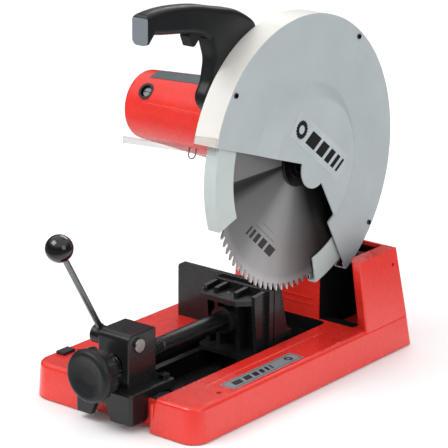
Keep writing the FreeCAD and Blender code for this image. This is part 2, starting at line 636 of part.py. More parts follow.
def ball_knob():
    a = V(LEVER_X, *CAM_AXIS)
    b = V(LEVER_X, *BALL_CENTRE)
    direction = (b - a).normalize()
    ball = Part.makeSphere(BALL_R, b)
    flat = b - direction * (BALL_R - 1.2)
    ball = ball.cut(Part.makeCylinder(BALL_R, BALL_R, flat, direction * -1))
    return ball.cut(Part.makeCylinder(4.0, BALL_R + 1.0, b - direction * (BALL_R + 1.0), direction))


# ---------------------------------------------------------------- head: housing, guards, arm
def tangent_hull(circle_a, circle_b, x0, x1):
    """Solid between and around two circles ((y, z), r), extruded along X."""
    (ay, az), ra = circle_a
    (by, bz), rb = circle_b
    distance = math.hypot(by - ay, bz - az)
    heading = math.atan2(bz - az, by - ay)
    spread = math.acos((ra - rb) / distance)
    points = []
    for side in (1, -1):
        t = heading + side * spread
        pair = [(ay + ra * math.cos(t), az + ra * math.sin(t)), (by + rb * math.cos(t), bz + rb * math.sin(t))]
        points += pair if side == 1 else pair[::-1]
    body = prism_x(points, x0, x1)
    return body.fuse([cyl_x(x0, x1, (ay, az), ra), cyl_x(x0, x1, (by, bz), rb)]).removeSplitter()


def screw_angles():
    return (140.9, 52.5, -37.4)


def guard_disc(x0, x1, inset):
    """Outline of the guard: a large arc over the top and back that runs into a tighter arc at the front."""
    radius = GUARD_R - inset
    back = sector_x(x0, x1, GUARD_CENTRE, radius, -70.0, FRONT_ARC_FROM)
    front_centre = polar(GUARD_CENTRE, GUARD_R - GUARD_FRONT_R, FRONT_ARC_FROM)
    front = cyl_x(x0, x1, front_centre, GUARD_FRONT_R - inset)
    front = front.common(wedge_x(x0, x1, GUARD_CENTRE, 2 * GUARD_R, FRONT_ARC_FROM, 175.0))
    return back.fuse(front).removeSplitter()


def guard_band(x0, x1, inset, start, end):
    """Part of the guard between its outline and the outline moved inwards."""
    band = guard_disc(x0, x1, 0.0).cut(guard_disc(x0 - 1, x1 + 1, inset))
    return band.common(wedge_x(x0, x1, GUARD_CENTRE, 2 * GUARD_R, start, end))


def guard_housing():
    """Upper guard: rim, back wall with a shallow step at the rear, cover lip and arbor boss."""
    x0 = GUARD_BACK_X
    x1 = GUARD_FACE_X - COVER_PLATE
    rim = guard_band(x0, x1, 2.5, SHALLOW_FROM, MOUTH_FRONT)
    rear_rim = guard_band(SHALLOW_BACK_X, x1, 2.5, MOUTH_REAR, SHALLOW_FROM)
    back = guard_disc(x0, x0 + 3.0, 0.0)
    back = back.common(wedge_x(x0, x0 + 3.0, GUARD_CENTRE, 2 * GUARD_R, SHALLOW_FROM, MOUTH_FRONT))
    rear_x = SHALLOW_BACK_X + 2.5
    rear_back = ring_sector_x(SHALLOW_BACK_X, rear_x, GUARD_CENTRE, GUARD_R, 100.0, MOUTH_REAR, SHALLOW_FROM + 1.0)
    step = ring_sector_x(x0, rear_x, GUARD_CENTRE, GUARD_R, 97.0, SHALLOW_FROM, SHALLOW_FROM + 1.2)
    lip = guard_band(x1 - 2.0, x1, 11.5, MOUTH_REAR, MOUTH_FRONT)
    plate = cyl_x(x0, x0 + 3.0, ARBOR, 70.0)
    boss = cyl_x(x0, 53.2, ARBOR, 27.0)
    shape = rim.fuse([rear_rim, back, rear_back, step, lip, plate, boss]).removeSplitter()
    shape = fillet_where(shape, 1.2, lambda p, e: p.x < x0 + 0.1 and e.Length > 200)
    shape = shape.cut(cyl_x(x0 - 1, 50.0, ARBOR, 20.0))
    shape = shape.cut(cyl_x(49.0, 55.0, ARBOR, 14.0))
    shape = shape.cut(ring_x(51.7, 53.0, ARBOR, 28.0, 25.5))
    for angle in screw_angles():
        shape = shape.cut(cyl_x(x1 - 3.0, x1 + 1, polar(GUARD_CENTRE, COVER_SCREW_R, angle), 1.6))
    for y, z in housing_screw_places():
        shape = shape.cut(cyl_x(x0 - 1, x0 + 4, (y, z), 2.6))
    return shape


def guard_cover():
    """Pressed side cover with a raised conical boss and a cut-out mouth around the arbor lobe."""
    t = COVER_PLATE
    x1 = GUARD_FACE_X
    far = GUARD_R + 20.0
    profile = [(x1, far), (x1, BOSS_BASE_R), (BOSS_FACE_X, BOSS_TOP_R), (BOSS_FACE_X, 0.0)]
    profile += [(BOSS_FACE_X - t, 0.0), (BOSS_FACE_X - t, BOSS_TOP_R - 1.0), (x1 - t, BOSS_BASE_R - 1.0), (x1 - t, far)]
    shell = revolve_x(profile, GUARD_CENTRE)
    shell = fillet_where(shell, 7.0, lambda p, e: abs(p.x - x1) < 0.01 and e.Length < 1000)
    shell = fillet_where(shell, 7.0, lambda p, e: abs(p.x - BOSS_FACE_X) < 0.01 and e.Length > 300)
    shell = fillet_where(shell, 5.5, lambda p, e: abs(p.x - x1 + t) < 0.01 and e.Length < 1000)
    shell = fillet_where(shell, 5.5, lambda p, e: abs(p.x - BOSS_FACE_X + t) < 0.01 and e.Length > 300)
    low, high = x1 - 10.0, BOSS_FACE_X + 5.0
    kept = guard_disc(low, high, 0.0).common(wedge_x(low, high, GUARD_CENTRE, 2 * GUARD_R, MOUTH_REAR, MOUTH_FRONT))
    lobe = cyl_x(BOSS_FACE_X - 6.0, high, GUARD_CENTRE, LOBE_R)
    cover = shell.common(kept.fuse(lobe))
    for angle in screw_angles():
        cover = cover.cut(cyl_x(x1 - 5, x1 + 1, polar(GUARD_CENTRE, COVER_SCREW_R, angle), 1.9))
    return cover


def cover_screws():
    screws = []
    for angle in screw_angles():
        y, z = polar(GUARD_CENTRE, COVER_SCREW_R, angle)
        screws.append(socket_screw((GUARD_FACE_X, y, z), (1, 0, 0), 1.6, 3.4, 3.4, 2.2))
    return group(screws)


def cover_label():
    """Blank label on the boss."""
    label = box(BOSS_FACE_X, BOSS_FACE_X + 0.4, -68.5, 68.0, -19.0, 18.0)
    label = fillet_where(label, 2.5, lambda p, e: abs(p.x - BOSS_FACE_X - 0.2) < 0.01)
    label.rotate(V(0, 0, 0), X_AXIS, -37.5)
    label.translate(V(0, 70.0, 319.0))
    return label


def housing_screw_places():
    """Screws that hold the gear case to the guard's back wall."""
    return [polar(ARBOR, 38.0, a) for a in (200.0, 270.0, 340.0)] + [polar(MOTOR, 50.0, a) for a in (35.0, 145.0)]


def gear_case():
    """Gear case and swing arm in one casting, with the pivot hub at its lower end."""
    x0, x1 = MOTOR_RIGHT_X, GUARD_BACK_X
    case_r = 59.0
    case = tangent_hull((MOTOR, case_r), (ARBOR, 46.0), x0, x1)
    case = fillet_where(case, 4.0, lambda p, e: p.x < x0 + 0.1)
    arm = tangent_hull((PIVOT, 24.0), (ARBOR, 30.0), x0, 20.0)
    shape = case.fuse(arm)
    for side in (x0 - 1.0, 9.0):
        pocket = tangent_hull((polar(PIVOT, 52.0, 130.2), 11.0), (polar(PIVOT, 150.0, 130.2), 15.0), side, side + 12.0)
        shape = shape.cut(pocket)
    cavity = tangent_hull((MOTOR, 16.0), (ARBOR, 34.0), 2.0, x1 + 1.0)
    shape = shape.cut(cavity)
    shape = shape.cut(cyl_x(x0 - 1, 3.0, MOTOR, 7.2))
    shape = shape.cut(cyl_x(x0 - 1, x0 + 9.0, MOTOR, 15.0))
    shape = shape.cut(cyl_x(-8.0, 3.0, ARBOR, 16.0))
    shape = shape.cut(cyl_x(-40.0, 40.0, PIVOT, PIVOT_R + RUN_CLEARANCE))
    for y, z in housing_screw_places():
        shape = shape.cut(cyl_x(x1 - 16.0, x1 + 1, (y, z), 2.5))
    return shape.removeSplitter()


def gear_case_screws():
    x = GUARD_BACK_X + 3.0
    return group([socket_screw((x, y, z), (1, 0, 0), 2.5, 16.0, 4.5, 4.0) for y, z in housing_screw_places()])


# ---------------------------------------------------------------- motor
def motor_radius(x):
    return MOTOR_END_R + MOTOR_SLOPE * (x - MOTOR_LEFT_X)


def brush_direction(angle):
    a = math.radians(angle)
    return V(0, math.cos(a), math.sin(a))


def motor_housing():
    """Tapered red motor barrel with a round left end, a side rib and two brush bores."""
    x0, x1 = MOTOR_LEFT_X, MOTOR_RIGHT_X
    profile = [(x0, 0.0), (x0, motor_radius(x0)), (x1, motor_radius(x1)), (x1, 0.0)]
    barrel = revolve_x(profile, MOTOR)
    barrel = fillet_where(barrel, 9.0, lambda p, e: p.x < x0 + 0.1 and e.Length > 200)
    rib_angle = 162.0
    rib_left, rib_right = -168.0, -30.0
    rib_low = polar(MOTOR, motor_radius(rib_left) - 2.0, rib_angle)
    rib_high = polar(MOTOR, motor_radius(rib_right) - 2.0, rib_angle)
    rib = rod((rib_left, *rib_low), (rib_right, *rib_high), 2.8)
    barrel = barrel.fuse(rib)
    barrel = barrel.cut(cyl_x(x0 + 8.0, x1 + 1, MOTOR, MOTOR_BORE_R))
    barrel = barrel.cut(cyl_x(x0 - 1, x0 + 9.0, MOTOR, 34.0))
    for angle in (BRUSH_ANGLE, BRUSH_ANGLE + 180.0):
        direction = brush_direction(angle)
        barrel = barrel.cut(Part.makeCylinder(CAP_R + 0.1, 60.0, V(BRUSH_X, *MOTOR) + direction * 20.0, direction))
    boot_seat = MOTOR[0] + motor_radius(CORD_X) - 1.5
    barrel = barrel.cut(cyl_y(CORD_X, MOTOR[1], boot_seat, boot_seat + 10.0, 7.0))
    barrel = barrel.cut(cyl_y(CORD_X, MOTOR[1], MOTOR[0] + 40.0, boot_seat + 1.0, 3.6))
    for i in range(8):
        slot = box(-50.0, -30.0, -2.0, 2.0, 40.0, 70.0)
        slot.rotate(V(0, 0, 0), X_AXIS, 168.0 + 24.0 * (i - 3))
        slot.translate(V(0, *MOTOR))
        barrel = barrel.cut(slot)
    return barrel


def motor_end_cap():
    """Vented disc in the barrel's left end that carries the rear bearing."""
    x0 = MOTOR_LEFT_X - 2.0
    cap = cyl_x(x0, x0 + 6.0, MOTOR, 33.9).fuse(cyl_x(x0 + 6.0, x0 + 16.0, MOTOR, 17.0))
    cap = fillet_where(cap, 1.5, lambda p, e: p.x < x0 + 0.1)
    cap = cap.cut(cyl_x(x0 + 6.0, x0 + 17.0, MOTOR, 13.0))
    for ring_r in (22.0, 28.5):
        for i in range(12):
            y, z = polar(MOTOR, ring_r, 30.0 * i + (15.0 if ring_r > 25 else 0.0))
            cap = cap.cut(cyl_x(x0 - 1, x0 + 7.0, (y, z), 2.2))
    return cap


def motor_nameplate():
    """Blank plate wrapped on the top of the barrel."""
    x0, x1 = -176.0, -62.0
    outer = revolve_x([(x0, 0.0), (x0, motor_radius(x0) + 0.7), (x1, motor_radius(x1) + 0.7), (x1, 0.0)], MOTOR)
    inner = revolve_x([(x0 - 1, 0.0), (x0 - 1, motor_radius(x0 - 1)), (x1 + 1, motor_radius(x1 + 1)), (x1 + 1, 0.0)], MOTOR)
    return outer.cut(inner).common(sector_x(x0, x1, MOTOR, 90.0, 88.0, 115.5))


def brush_caps():
    """Two black screw caps with a recess."""
    caps = []
    for angle in (BRUSH_ANGLE, BRUSH_ANGLE + 180.0):
        direction = brush_direction(angle)
        top = V(BRUSH_X, *MOTOR) + direction * (motor_radius(BRUSH_X) + 1.0)
        cap = Part.makeCylinder(CAP_R, 14.0, top, direction * -1)
        cap = cap.cut(Part.makeCylinder(8.6, 8.0, top, direction * -1))
        caps.append(cap)
    return group(caps)


def brush_plugs():
    """Slotted brush plugs in the caps."""
    plugs = []
    for angle in (BRUSH_ANGLE, BRUSH_ANGLE + 180.0):
        direction = brush_direction(angle)
        seat = V(BRUSH_X, *MOTOR) + direction * (motor_radius(BRUSH_X) - 7.0)
        plug = Part.makeCylinder(6.4, 4.0, seat, direction)
        slot = box(-7.5, 7.5, -1.0, 1.0, 2.4, 5.0)
        slot.rotate(V(0, 0, 0), X_AXIS, angle - 90.0)
        slot.translate(seat)
        plugs.append(plug.cut(slot))
    return group(plugs)


def carbon_brushes():
    brushes = []
    for angle in (BRUSH_ANGLE, BRUSH_ANGLE + 180.0):
        block = box(-4.0, 4.0, -3.0, 3.0, 15.2, 34.0)
        block.rotate(V(0, 0, 0), X_AXIS, angle - 90.0)
        block.translate(V(BRUSH_X, *MOTOR))
        brushes.append(block)
    return group(brushes)


def stator():
    core = ring_x(-148.0, -86.0, MOTOR, MOTOR_BORE_R, 30.0)
    for angle in (90.0, 270.0):
        y, z = polar(MOTOR, 37.0, angle)
        core = core.cut(box(-149.0, -85.0, y - 16.0, y + 16.0, z - 3.5, z + 3.5))
    return core


def field_coils():
    coils = []
    for angle in (90.0, 270.0):
        y, z = polar(MOTOR, 37.0, angle)
        coils.append(box(-153.0, -81.0, y - 15.5, y + 15.5, z - 3.2, z + 3.2))
    return group(coils)


def gear_outline(centre, teeth, module, phase, x0, x1):
    """Spur gear with straight-flanked teeth cut thin enough to run with backlash."""
    pitch_r = module * teeth / 2.0
    root_r = pitch_r - 1.15 * module
    tip_r = pitch_r + 0.8 * module
    step = 360.0 / teeth
    root_half = 0.29 * step
    tip_half = 0.10 * step
    points = []
    for i in range(teeth):
        a = phase + i * step
        points.append(polar(centre, root_r, a - root_half))
        points.append(polar(centre, tip_r, a - tip_half))
        points.append(polar(centre, tip_r, a + tip_half))
        points.append(polar(centre, root_r, a + root_half))
    return prism_x(points, x0, x1)


def armature_shaft():
    """Motor shaft with the pinion cut on its right end; the pinion's gap faces the gear."""
    shaft = cyl_x(MOTOR_LEFT_X + 6.0, 8.0, MOTOR, 6.0)
    step = 360.0 / PINION_TEETH
    pinion = gear_outline(MOTOR, PINION_TEETH, GEAR_MODULE, -90.0 + step / 2.0, 6.0, 24.0)
    shaft = shaft.fuse(cyl_x(6.0, 8.0, MOTOR, 3.2))
    neck = cyl_x(0.0, 8.0, MOTOR, 7.0).cut(cyl_x(-1.0, 9.0, MOTOR, 4.0))
    shaft = shaft.cut(neck)
    return shaft.fuse(pinion)


def armature_core():
    core = ring_x(-146.0, -88.0, MOTOR, 28.5, 6.0)
    slots = 12
    for i in range(slots):
        slot = box(-147.0, -87.0, -2.5, 2.5, 18.0, 27.0)
        slot.rotate(V(0, 0, 0), X_AXIS, 360.0 * i / slots)
        slot.translate(V(0, *MOTOR))
        core = core.cut(slot)
    return core


def armature_windings():
    """Copper of the armature: the end turns and the commutator."""
    ends = [ring_x(-156.0, -146.0, MOTOR, 25.0, 8.0), ring_x(-88.0, -78.0, MOTOR, 25.0, 8.0)]
    return group(ends + [ring_x(-176.0, -157.0, MOTOR, 15.0, 6.0)])


def cooling_fan():
    fan = ring_x(-74.0, -71.0, MOTOR, 40.0, 6.0).fuse(ring_x(-74.0, -62.0, MOTOR, 12.0, 6.0))
    blades = 11
    for i in range(blades):
        blade = box(-72.0, -62.0, -1.0, 1.0, 16.0, 39.5)
        blade.rotate(V(0, 0, 0), X_AXIS, 360.0 * i / blades)
        blade.translate(V(0, *MOTOR))
        fan = fan.fuse(blade)
    return fan


def power_cord():
    """Short length of cord that leaves the back of the motor through a boot."""
    x = CORD_X
    y0 = MOTOR[0] + motor_radius(x) - 1.5
    z0 = MOTOR[1]
    boot = Part.makeCone(7.0, 4.6, 26.0, V(x, y0, z0), Y_AXIS)
    path = Part.Arc(V(x, y0 + 20.0, z0), V(x, y0 + 52.0, z0 - 20.0), V(x, y0 + 60.0, z0 - 70.0)).toShape()
    circle = Part.Wire(Part.makeCircle(3.6, V(x, y0 + 20.0, z0), Y_AXIS))
    cord = Part.Wire(path).makePipeShell([circle], True, True)
    return boot.fuse(cord)


# ---------------------------------------------------------------- arbor, blade and guards that move
def bearings():
    """Two arbor bearings and two motor bearings."""
    rings = [
        ring_x(-8.0, 2.0, ARBOR, 16.0, 10.0 + RUN_CLEARANCE),
        ring_x(38.0, 50.0, ARBOR, 20.0, 10.0 + RUN_CLEARANCE),
        ring_x(MOTOR_LEFT_X + 4.0, MOTOR_LEFT_X + 13.0, MOTOR, 13.0, 6.0 + RUN_CLEARANCE),
        ring_x(MOTOR_RIGHT_X, MOTOR_RIGHT_X + 9.0, MOTOR, 15.0, 6.0 + RUN_CLEARANCE),
    ]
    return group(rings)


def arbor_shaft():
    shaft = cyl_x(-7.5, 50.3, ARBOR, 10.0).fuse(cyl_x(50.3, 67.0, ARBOR, ARBOR_R))
    return shaft.cut(cyl_x(40.0, 68.0, ARBOR, 5.0))


def spindle_gear():
    gear = gear_outline(ARBOR, GEAR_TEETH, GEAR_MODULE, 90.0, 8.0, 22.0)
    gear = gear.fuse(cyl_x(22.0, 30.0, ARBOR, 16.0)).cut(cyl_x(7.0, 31.0, ARBOR, 10.0))
    return gear.cut(ring_x(18.0, 23.0, ARBOR, 25.0, 16.0))


def blade_side(sign):
    return BLADE_X + sign * BLADE_PLATE / 2.0


def blade_flanges():
    """Clamping flanges on both sides of the blade."""
    inner = ring_x(54.0, blade_side(-1), ARBOR, FLANGE_R, ARBOR_R).cut(ring_x(60.5, 70.0, ARBOR, 26.0, ARBOR_R))
    x0 = blade_side(1)
    outer = cyl_x(x0, 68.0, ARBOR, FLANGE_R).fuse(cyl_x(68.0, 70.0, ARBOR, 24.0))
    outer = outer.cut(cyl_x(x0 - 1, 71.0, ARBOR, ARBOR_R))
    return group([inner, fillet_where(outer, 1.2, lambda p, e: p.x > 67.9 and e.Length > 200)])


def arbor_bolt():
    head = cyl_x(70.0, 72.5, ARBOR, 17.0).fuse(hex_prism((72.5, *ARBOR), X_AXIS, 19.0, 7.5))
    return head.fuse(cyl_x(42.0, 70.0, ARBOR, 5.0))


def tooth_point(index, turn, drop):
    """Point on the blade's edge: turn is degrees into the tooth, drop is the depth below the tip circle."""
    return polar(ARBOR, BLADE_R - drop, index * 360.0 / BLADE_TEETH + turn)


def saw_blade():
    """Toothed steel plate; each tooth leans forward and has a seat for its carbide tip."""
    points = []
    for i in range(BLADE_TEETH):
        points += [tooth_point(i, 0.10, 9.6), tooth_point(i, 0.90, 9.2), tooth_point(i, 1.75, 5.0)]
        points += [tooth_point(i, 3.20, 0.5), tooth_point(i, 3.12, 6.0), tooth_point(i, 3.78, 6.3)]
        points += [tooth_point(i, 3.70, 8.8)]
    plate = prism_x(points, blade_side(-1), blade_side(1))
    return plate.cut(cyl_x(50.0, 80.0, ARBOR, ARBOR_R))


def carbide_tips():
    tips = []
    x0 = BLADE_X - TIP_WIDTH / 2.0
    for i in range(BLADE_TEETH):
        outline = [tooth_point(i, 3.12, 6.0), tooth_point(i, 3.20, 0.5), tooth_point(i, 3.98, 0.0), tooth_point(i, 3.78, 6.3)]
        tips.append(prism_x(outline, x0, x0 + TIP_WIDTH))
    return group(tips)


def lower_guard():
    """Retracting guard: hub on the arbor boss, side plate, rim and an outer flange ring."""
    start = LOWER_GUARD_END - LOWER_GUARD_SPAN
    end = LOWER_GUARD_END
    r = LOWER_GUARD_R
    plate = sector_x(50.0, 51.5, ARBOR, r, start, end)
    x1 = LOWER_GUARD_RIGHT
    rim = ring_sector_x(50.0, x1, ARBOR, r, r - 1.5, start, end)
    flange = ring_sector_x(x1 - 1.5, x1, ARBOR, r, LOWER_GUARD_IN_R, start, end)
    hub = cyl_x(42.0, 51.5, ARBOR, 33.0)
    shape = plate.fuse([rim, flange, hub]).removeSplitter()
    return shape.cut(cyl_x(40.0, 60.0, ARBOR, 27.0 + RUN_CLEARANCE))


def guard_circlip():
    """Retaining ring in the boss's groove, open on its front side."""
    ring = ring_x(51.75, 52.95, ARBOR, 30.5, 25.5)
    return ring.cut(sector_x(50.0, 55.0, ARBOR, 40.0, 165.0, 195.0))


def rear_inner_guard():
    """Fixed inner fender that closes the rear end of the blade opening."""
    start, end = -77.5, -40.0
    r = REAR_GUARD_R
    x0 = SHALLOW_BACK_X + 2.5
    left = ring_sector_x(x0, x0 + 1.5, ARBOR, r, 170.0, start, end)
    rim = ring_sector_x(x0, 68.0, ARBOR, r, r - 1.5, start, end)
    right = ring_sector_x(66.5, 68.0, ARBOR, r, REAR_GUARD_IN_R, start, end)
    return left.fuse([rim, right]).removeSplitter()


def chip_deflector():
    """Clear plate below the front end of the upper guard, with a lip along its front edge."""
    down = brush_direction(MOUTH_FRONT + 90.0)
    outer = polar(GUARD_CENTRE, MOUTH_CORNER_R + 1.7, MOUTH_FRONT)
    inner = polar(GUARD_CENTRE, MOUTH_CORNER_R - 35.0, MOUTH_FRONT)
    edge = polar(GUARD_CENTRE, MOUTH_CORNER_R + 0.2, MOUTH_FRONT)
    t = (down.y, down.z)

    def below(point, depth):
        return (point[0] + t[0] * depth, point[1] + t[1] * depth)

    plate = prism_x([inner, outer, below(outer, 2.0), below(inner, 2.0)], -80.0, 49.0)
    lip = prism_x([edge, outer, below(outer, 9.0), below(edge, 9.0)], -80.0, 71.0)
    tab = prism_x([below(edge, -12.0), below(outer, -12.0), below(outer, 4.0), below(edge, 4.0)], 36.0, 71.0)
    shape = plate.fuse([lip, tab]).removeSplitter()
    axis = brush_direction(MOUTH_FRONT)
    shape.rotate(V(71.0, *outer), axis, DEFLECTOR_DROOP)
    return shape


def wire_hook():
    """Small wire hook under the deflector's lip."""
    down = brush_direction(MOUTH_FRONT + 90.0)
    top = V(34.5, *polar(GUARD_CENTRE, MOUTH_CORNER_R - 0.7, MOUTH_FRONT))
    bend_r = 5.5
    wire_r = 0.8
    left = V(-bend_r, 0, 0)
    legs = []
    for side in (left, left * -1):
        legs.append(Part.makeCylinder(wire_r, 8.5, top + side + down * 5.5, down))
    bend = Part.makeTorus(bend_r, wire_r, top + down * 14.0, brush_direction(MOUTH_FRONT))
    half = Part.makeCylinder(12.0, 12.0, top + down * 14.0, down)
    return bend.common(half).fuse(legs)


# ---------------------------------------------------------------- handle
def spline(points):
    curve = Part.BSplineCurve()
    curve.interpolate([V(0, y, z) for y, z in points])
    return curve.toShape()


def handle_wire():
    """Side outline of the handle: arched grip with a hook at the front and a stem at the guard."""
    root = (9.0, 474.0)
    nose_top = (-226.0, 529.5)
    nose_low = (-226.0, 493.5)
    hook = (-207.0, 493.5)
    web = (-196.5, 504.5)
    crotch = (-91.2, 481.0)
    foot = (-72.0, 374.0)
    top = [root, (7.6, 482.5), (3.8, 489.4), (-5.0, 496.4), (-39.8, 513.1), (-73.8, 521.0)]
    top += [(-106.8, 528.5), (-139.8, 532.9), (-171.8, 534.9), (-198.0, 534.0), nose_top]
    stem = [crotch, (-86.2, 466.0), (-82.6, 452.0), (-85.2, 435.1), (-88.4, 423.0), (-95.8, 411.5)]
    stem += [(-97.2, 403.1), (-93.2, 393.0), foot]
    edges = [
        spline(top),
        Part.makeLine(V(0, *nose_top), V(0, *nose_low)),
        Part.makeLine(V(0, *nose_low), V(0, *hook)),
        Part.makeLine(V(0, *hook), V(0, *web)),
        spline([web, (-168.0, 500.2), (-140.0, 496.8), (-112.0, 491.0), crotch]),
        spline(stem),
        spline([foot, (-50.0, 388.0), (-30.0, 420.0), (-6.0, 450.0), root]),
    ]
    return Part.Wire(edges)


def nose_cutter():
    """Everything in front of the grip's flat end, with the end's upper edge rounded."""
    r = 8.0
    top_z = 533.2
    front = box(-20.0, 60.0, NOSE_Y - 30.0, NOSE_Y, 480.0, 545.0)
    corner = box(-20.0, 60.0, NOSE_Y - 1.0, NOSE_Y + r, top_z - r, 545.0)
    corner = corner.cut(cyl_x(-21.0, 61.0, (NOSE_Y + r, top_z - r), r))
    return front.fuse(corner)


def handle_half(side):
    """One moulded half (side -1 left, +1 right) with its outer edge rounded and the trigger pocket cut."""
    face = Part.Face(handle_wire())
    outer = GRIP_X + side * GRIP_HALF_WIDTH
    face.translate(V(outer, 0, 0))
    body = face.extrude(V(-side * GRIP_HALF_WIDTH, 0, 0))
    for radius in (8.0, 7.0, 6.0, 4.0, 2.0):
        rounded = fillet_where(body, radius, lambda p, e: abs(p.x - outer) < 0.01)
        if rounded is not body:
            body = rounded
            break
    body = body.cut(nose_cutter())
    low, high = sorted((GRIP_X, GRIP_X + side * 8.0))
    body = body.cut(box(low - 0.001, high, -135.0, -92.0, 469.0, 514.0))
    pin_low, pin_high = sorted((GRIP_X - side, GRIP_X + side * 10.0))
    return body.cut(cyl_x(pin_low, pin_high, TRIGGER_PIVOT, 2.0))


def handle_screw_places():
    return [(-172.0, 518.0), (-46.0, 494.0), (-78.0, 412.0)]


def handle_left_half():
    body = handle_half(-1)
    for y, z in handle_screw_places():
        body = body.cut(cyl_x(GRIP_X - 20.0, GRIP_X + 1.0, (y, z), 1.9))
        body = body.cut(cyl_x(GRIP_X - 20.0, GRIP_X - GRIP_HALF_WIDTH + 4.0, (y, z), 3.8))
    return body


def handle_right_half():
    """Right half, whose flat side lies on the guard's back wall."""
    body = handle_half(1)
    for y, z in handle_screw_places():
        body = body.cut(cyl_x(GRIP_X - 1.0, GRIP_X + 8.0, (y, z), 1.9))
    return body


def handle_screws():
    x = GRIP_X - GRIP_HALF_WIDTH + 4.0
    return group([socket_screw((x, y, z), (-1, 0, 0), 1.9, 16.0, 3.6, 2.6) for y, z in handle_screw_places()])


def switch_body():
    return box(GRIP_X - 7.8, GRIP_X + 7.8, -132.0, -96.0, 505.0, 513.8)


def trigger():
    outline = [(-128.3, 491.0), (-121.8, 476.6), (-116.3, 477.2), (-105.8, 487.0), (-96.3, 492.0), (-95.8, 499.5)]
    outline.append((-125.8, 500.5))
    body = prism_x(outline, GRIP_X - 7.5, GRIP_X + 7.5)
    body = fillet_where(body, 2.2, lambda p, e: abs(p.x - GRIP_X) < 0.1 and p.z < 492)
    return body.cut(cyl_x(GRIP_X - 10.0, GRIP_X + 10.0, TRIGGER_PIVOT, 2.0 + RUN_CLEARANCE))


def trigger_pin():
    return cyl_x(GRIP_X - 10.0, GRIP_X + 10.0, TRIGGER_PIVOT, 2.0)


NODES = [
    base_casting, rubber_feet, foot_screws, chip_tray, trough_bars, deck_nameplate, side_plug,
    front_bracket, vise_block, block_bolts, half_nut, fence, frame_bolts, pivot_pin, return_spring,
    movable_jaw, jaw_pin, vise_screw, handwheel, cam_shaft, lever_hub, lever_rod, ball_knob,
    guard_housing, guard_cover, cover_screws, cover_label, gear_case, gear_case_screws,
    motor_housing, motor_end_cap, motor_nameplate, brush_caps, brush_plugs, carbon_brushes,
    stator, field_coils, bearings, power_cord, armature_shaft, armature_core, armature_windings,
    cooling_fan, arbor_shaft, spindle_gear, blade_flanges, saw_blade, carbide_tips, arbor_bolt,
    lower_guard, guard_circlip, rear_inner_guard, chip_deflector, wire_hook,
    handle_left_half, handle_right_half, handle_screws, switch_body, trigger, trigger_pin,
]


def main():
    os.makedirs("parts", exist_ok=True)
    for make in NODES:
        make().exportStep("parts/" + make.__name__ + ".step")


main()
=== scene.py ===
"""Looks of the dry-cut metal chop saw: materials, extra detail, light, floor and camera."""
import bpy
import bmesh
import json
import math
from mathutils import Matrix, Vector


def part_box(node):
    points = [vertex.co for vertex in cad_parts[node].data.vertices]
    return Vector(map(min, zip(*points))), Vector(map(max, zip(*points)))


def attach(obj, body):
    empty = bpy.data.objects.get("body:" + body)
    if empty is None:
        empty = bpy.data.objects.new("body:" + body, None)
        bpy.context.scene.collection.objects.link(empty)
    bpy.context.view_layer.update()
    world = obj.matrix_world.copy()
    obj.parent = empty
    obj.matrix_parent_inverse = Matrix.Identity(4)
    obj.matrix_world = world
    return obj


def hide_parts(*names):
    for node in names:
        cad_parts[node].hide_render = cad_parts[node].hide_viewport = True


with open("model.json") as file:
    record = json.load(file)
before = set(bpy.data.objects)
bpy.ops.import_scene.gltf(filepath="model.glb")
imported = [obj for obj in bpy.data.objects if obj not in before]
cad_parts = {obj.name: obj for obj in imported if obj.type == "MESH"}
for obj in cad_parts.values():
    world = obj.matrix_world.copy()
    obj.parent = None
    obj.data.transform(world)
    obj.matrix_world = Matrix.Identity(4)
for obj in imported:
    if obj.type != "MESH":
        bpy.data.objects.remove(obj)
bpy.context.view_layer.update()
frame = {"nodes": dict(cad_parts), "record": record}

NODES = frame["nodes"]
MM = 0.001
AMBIENT = 0.90


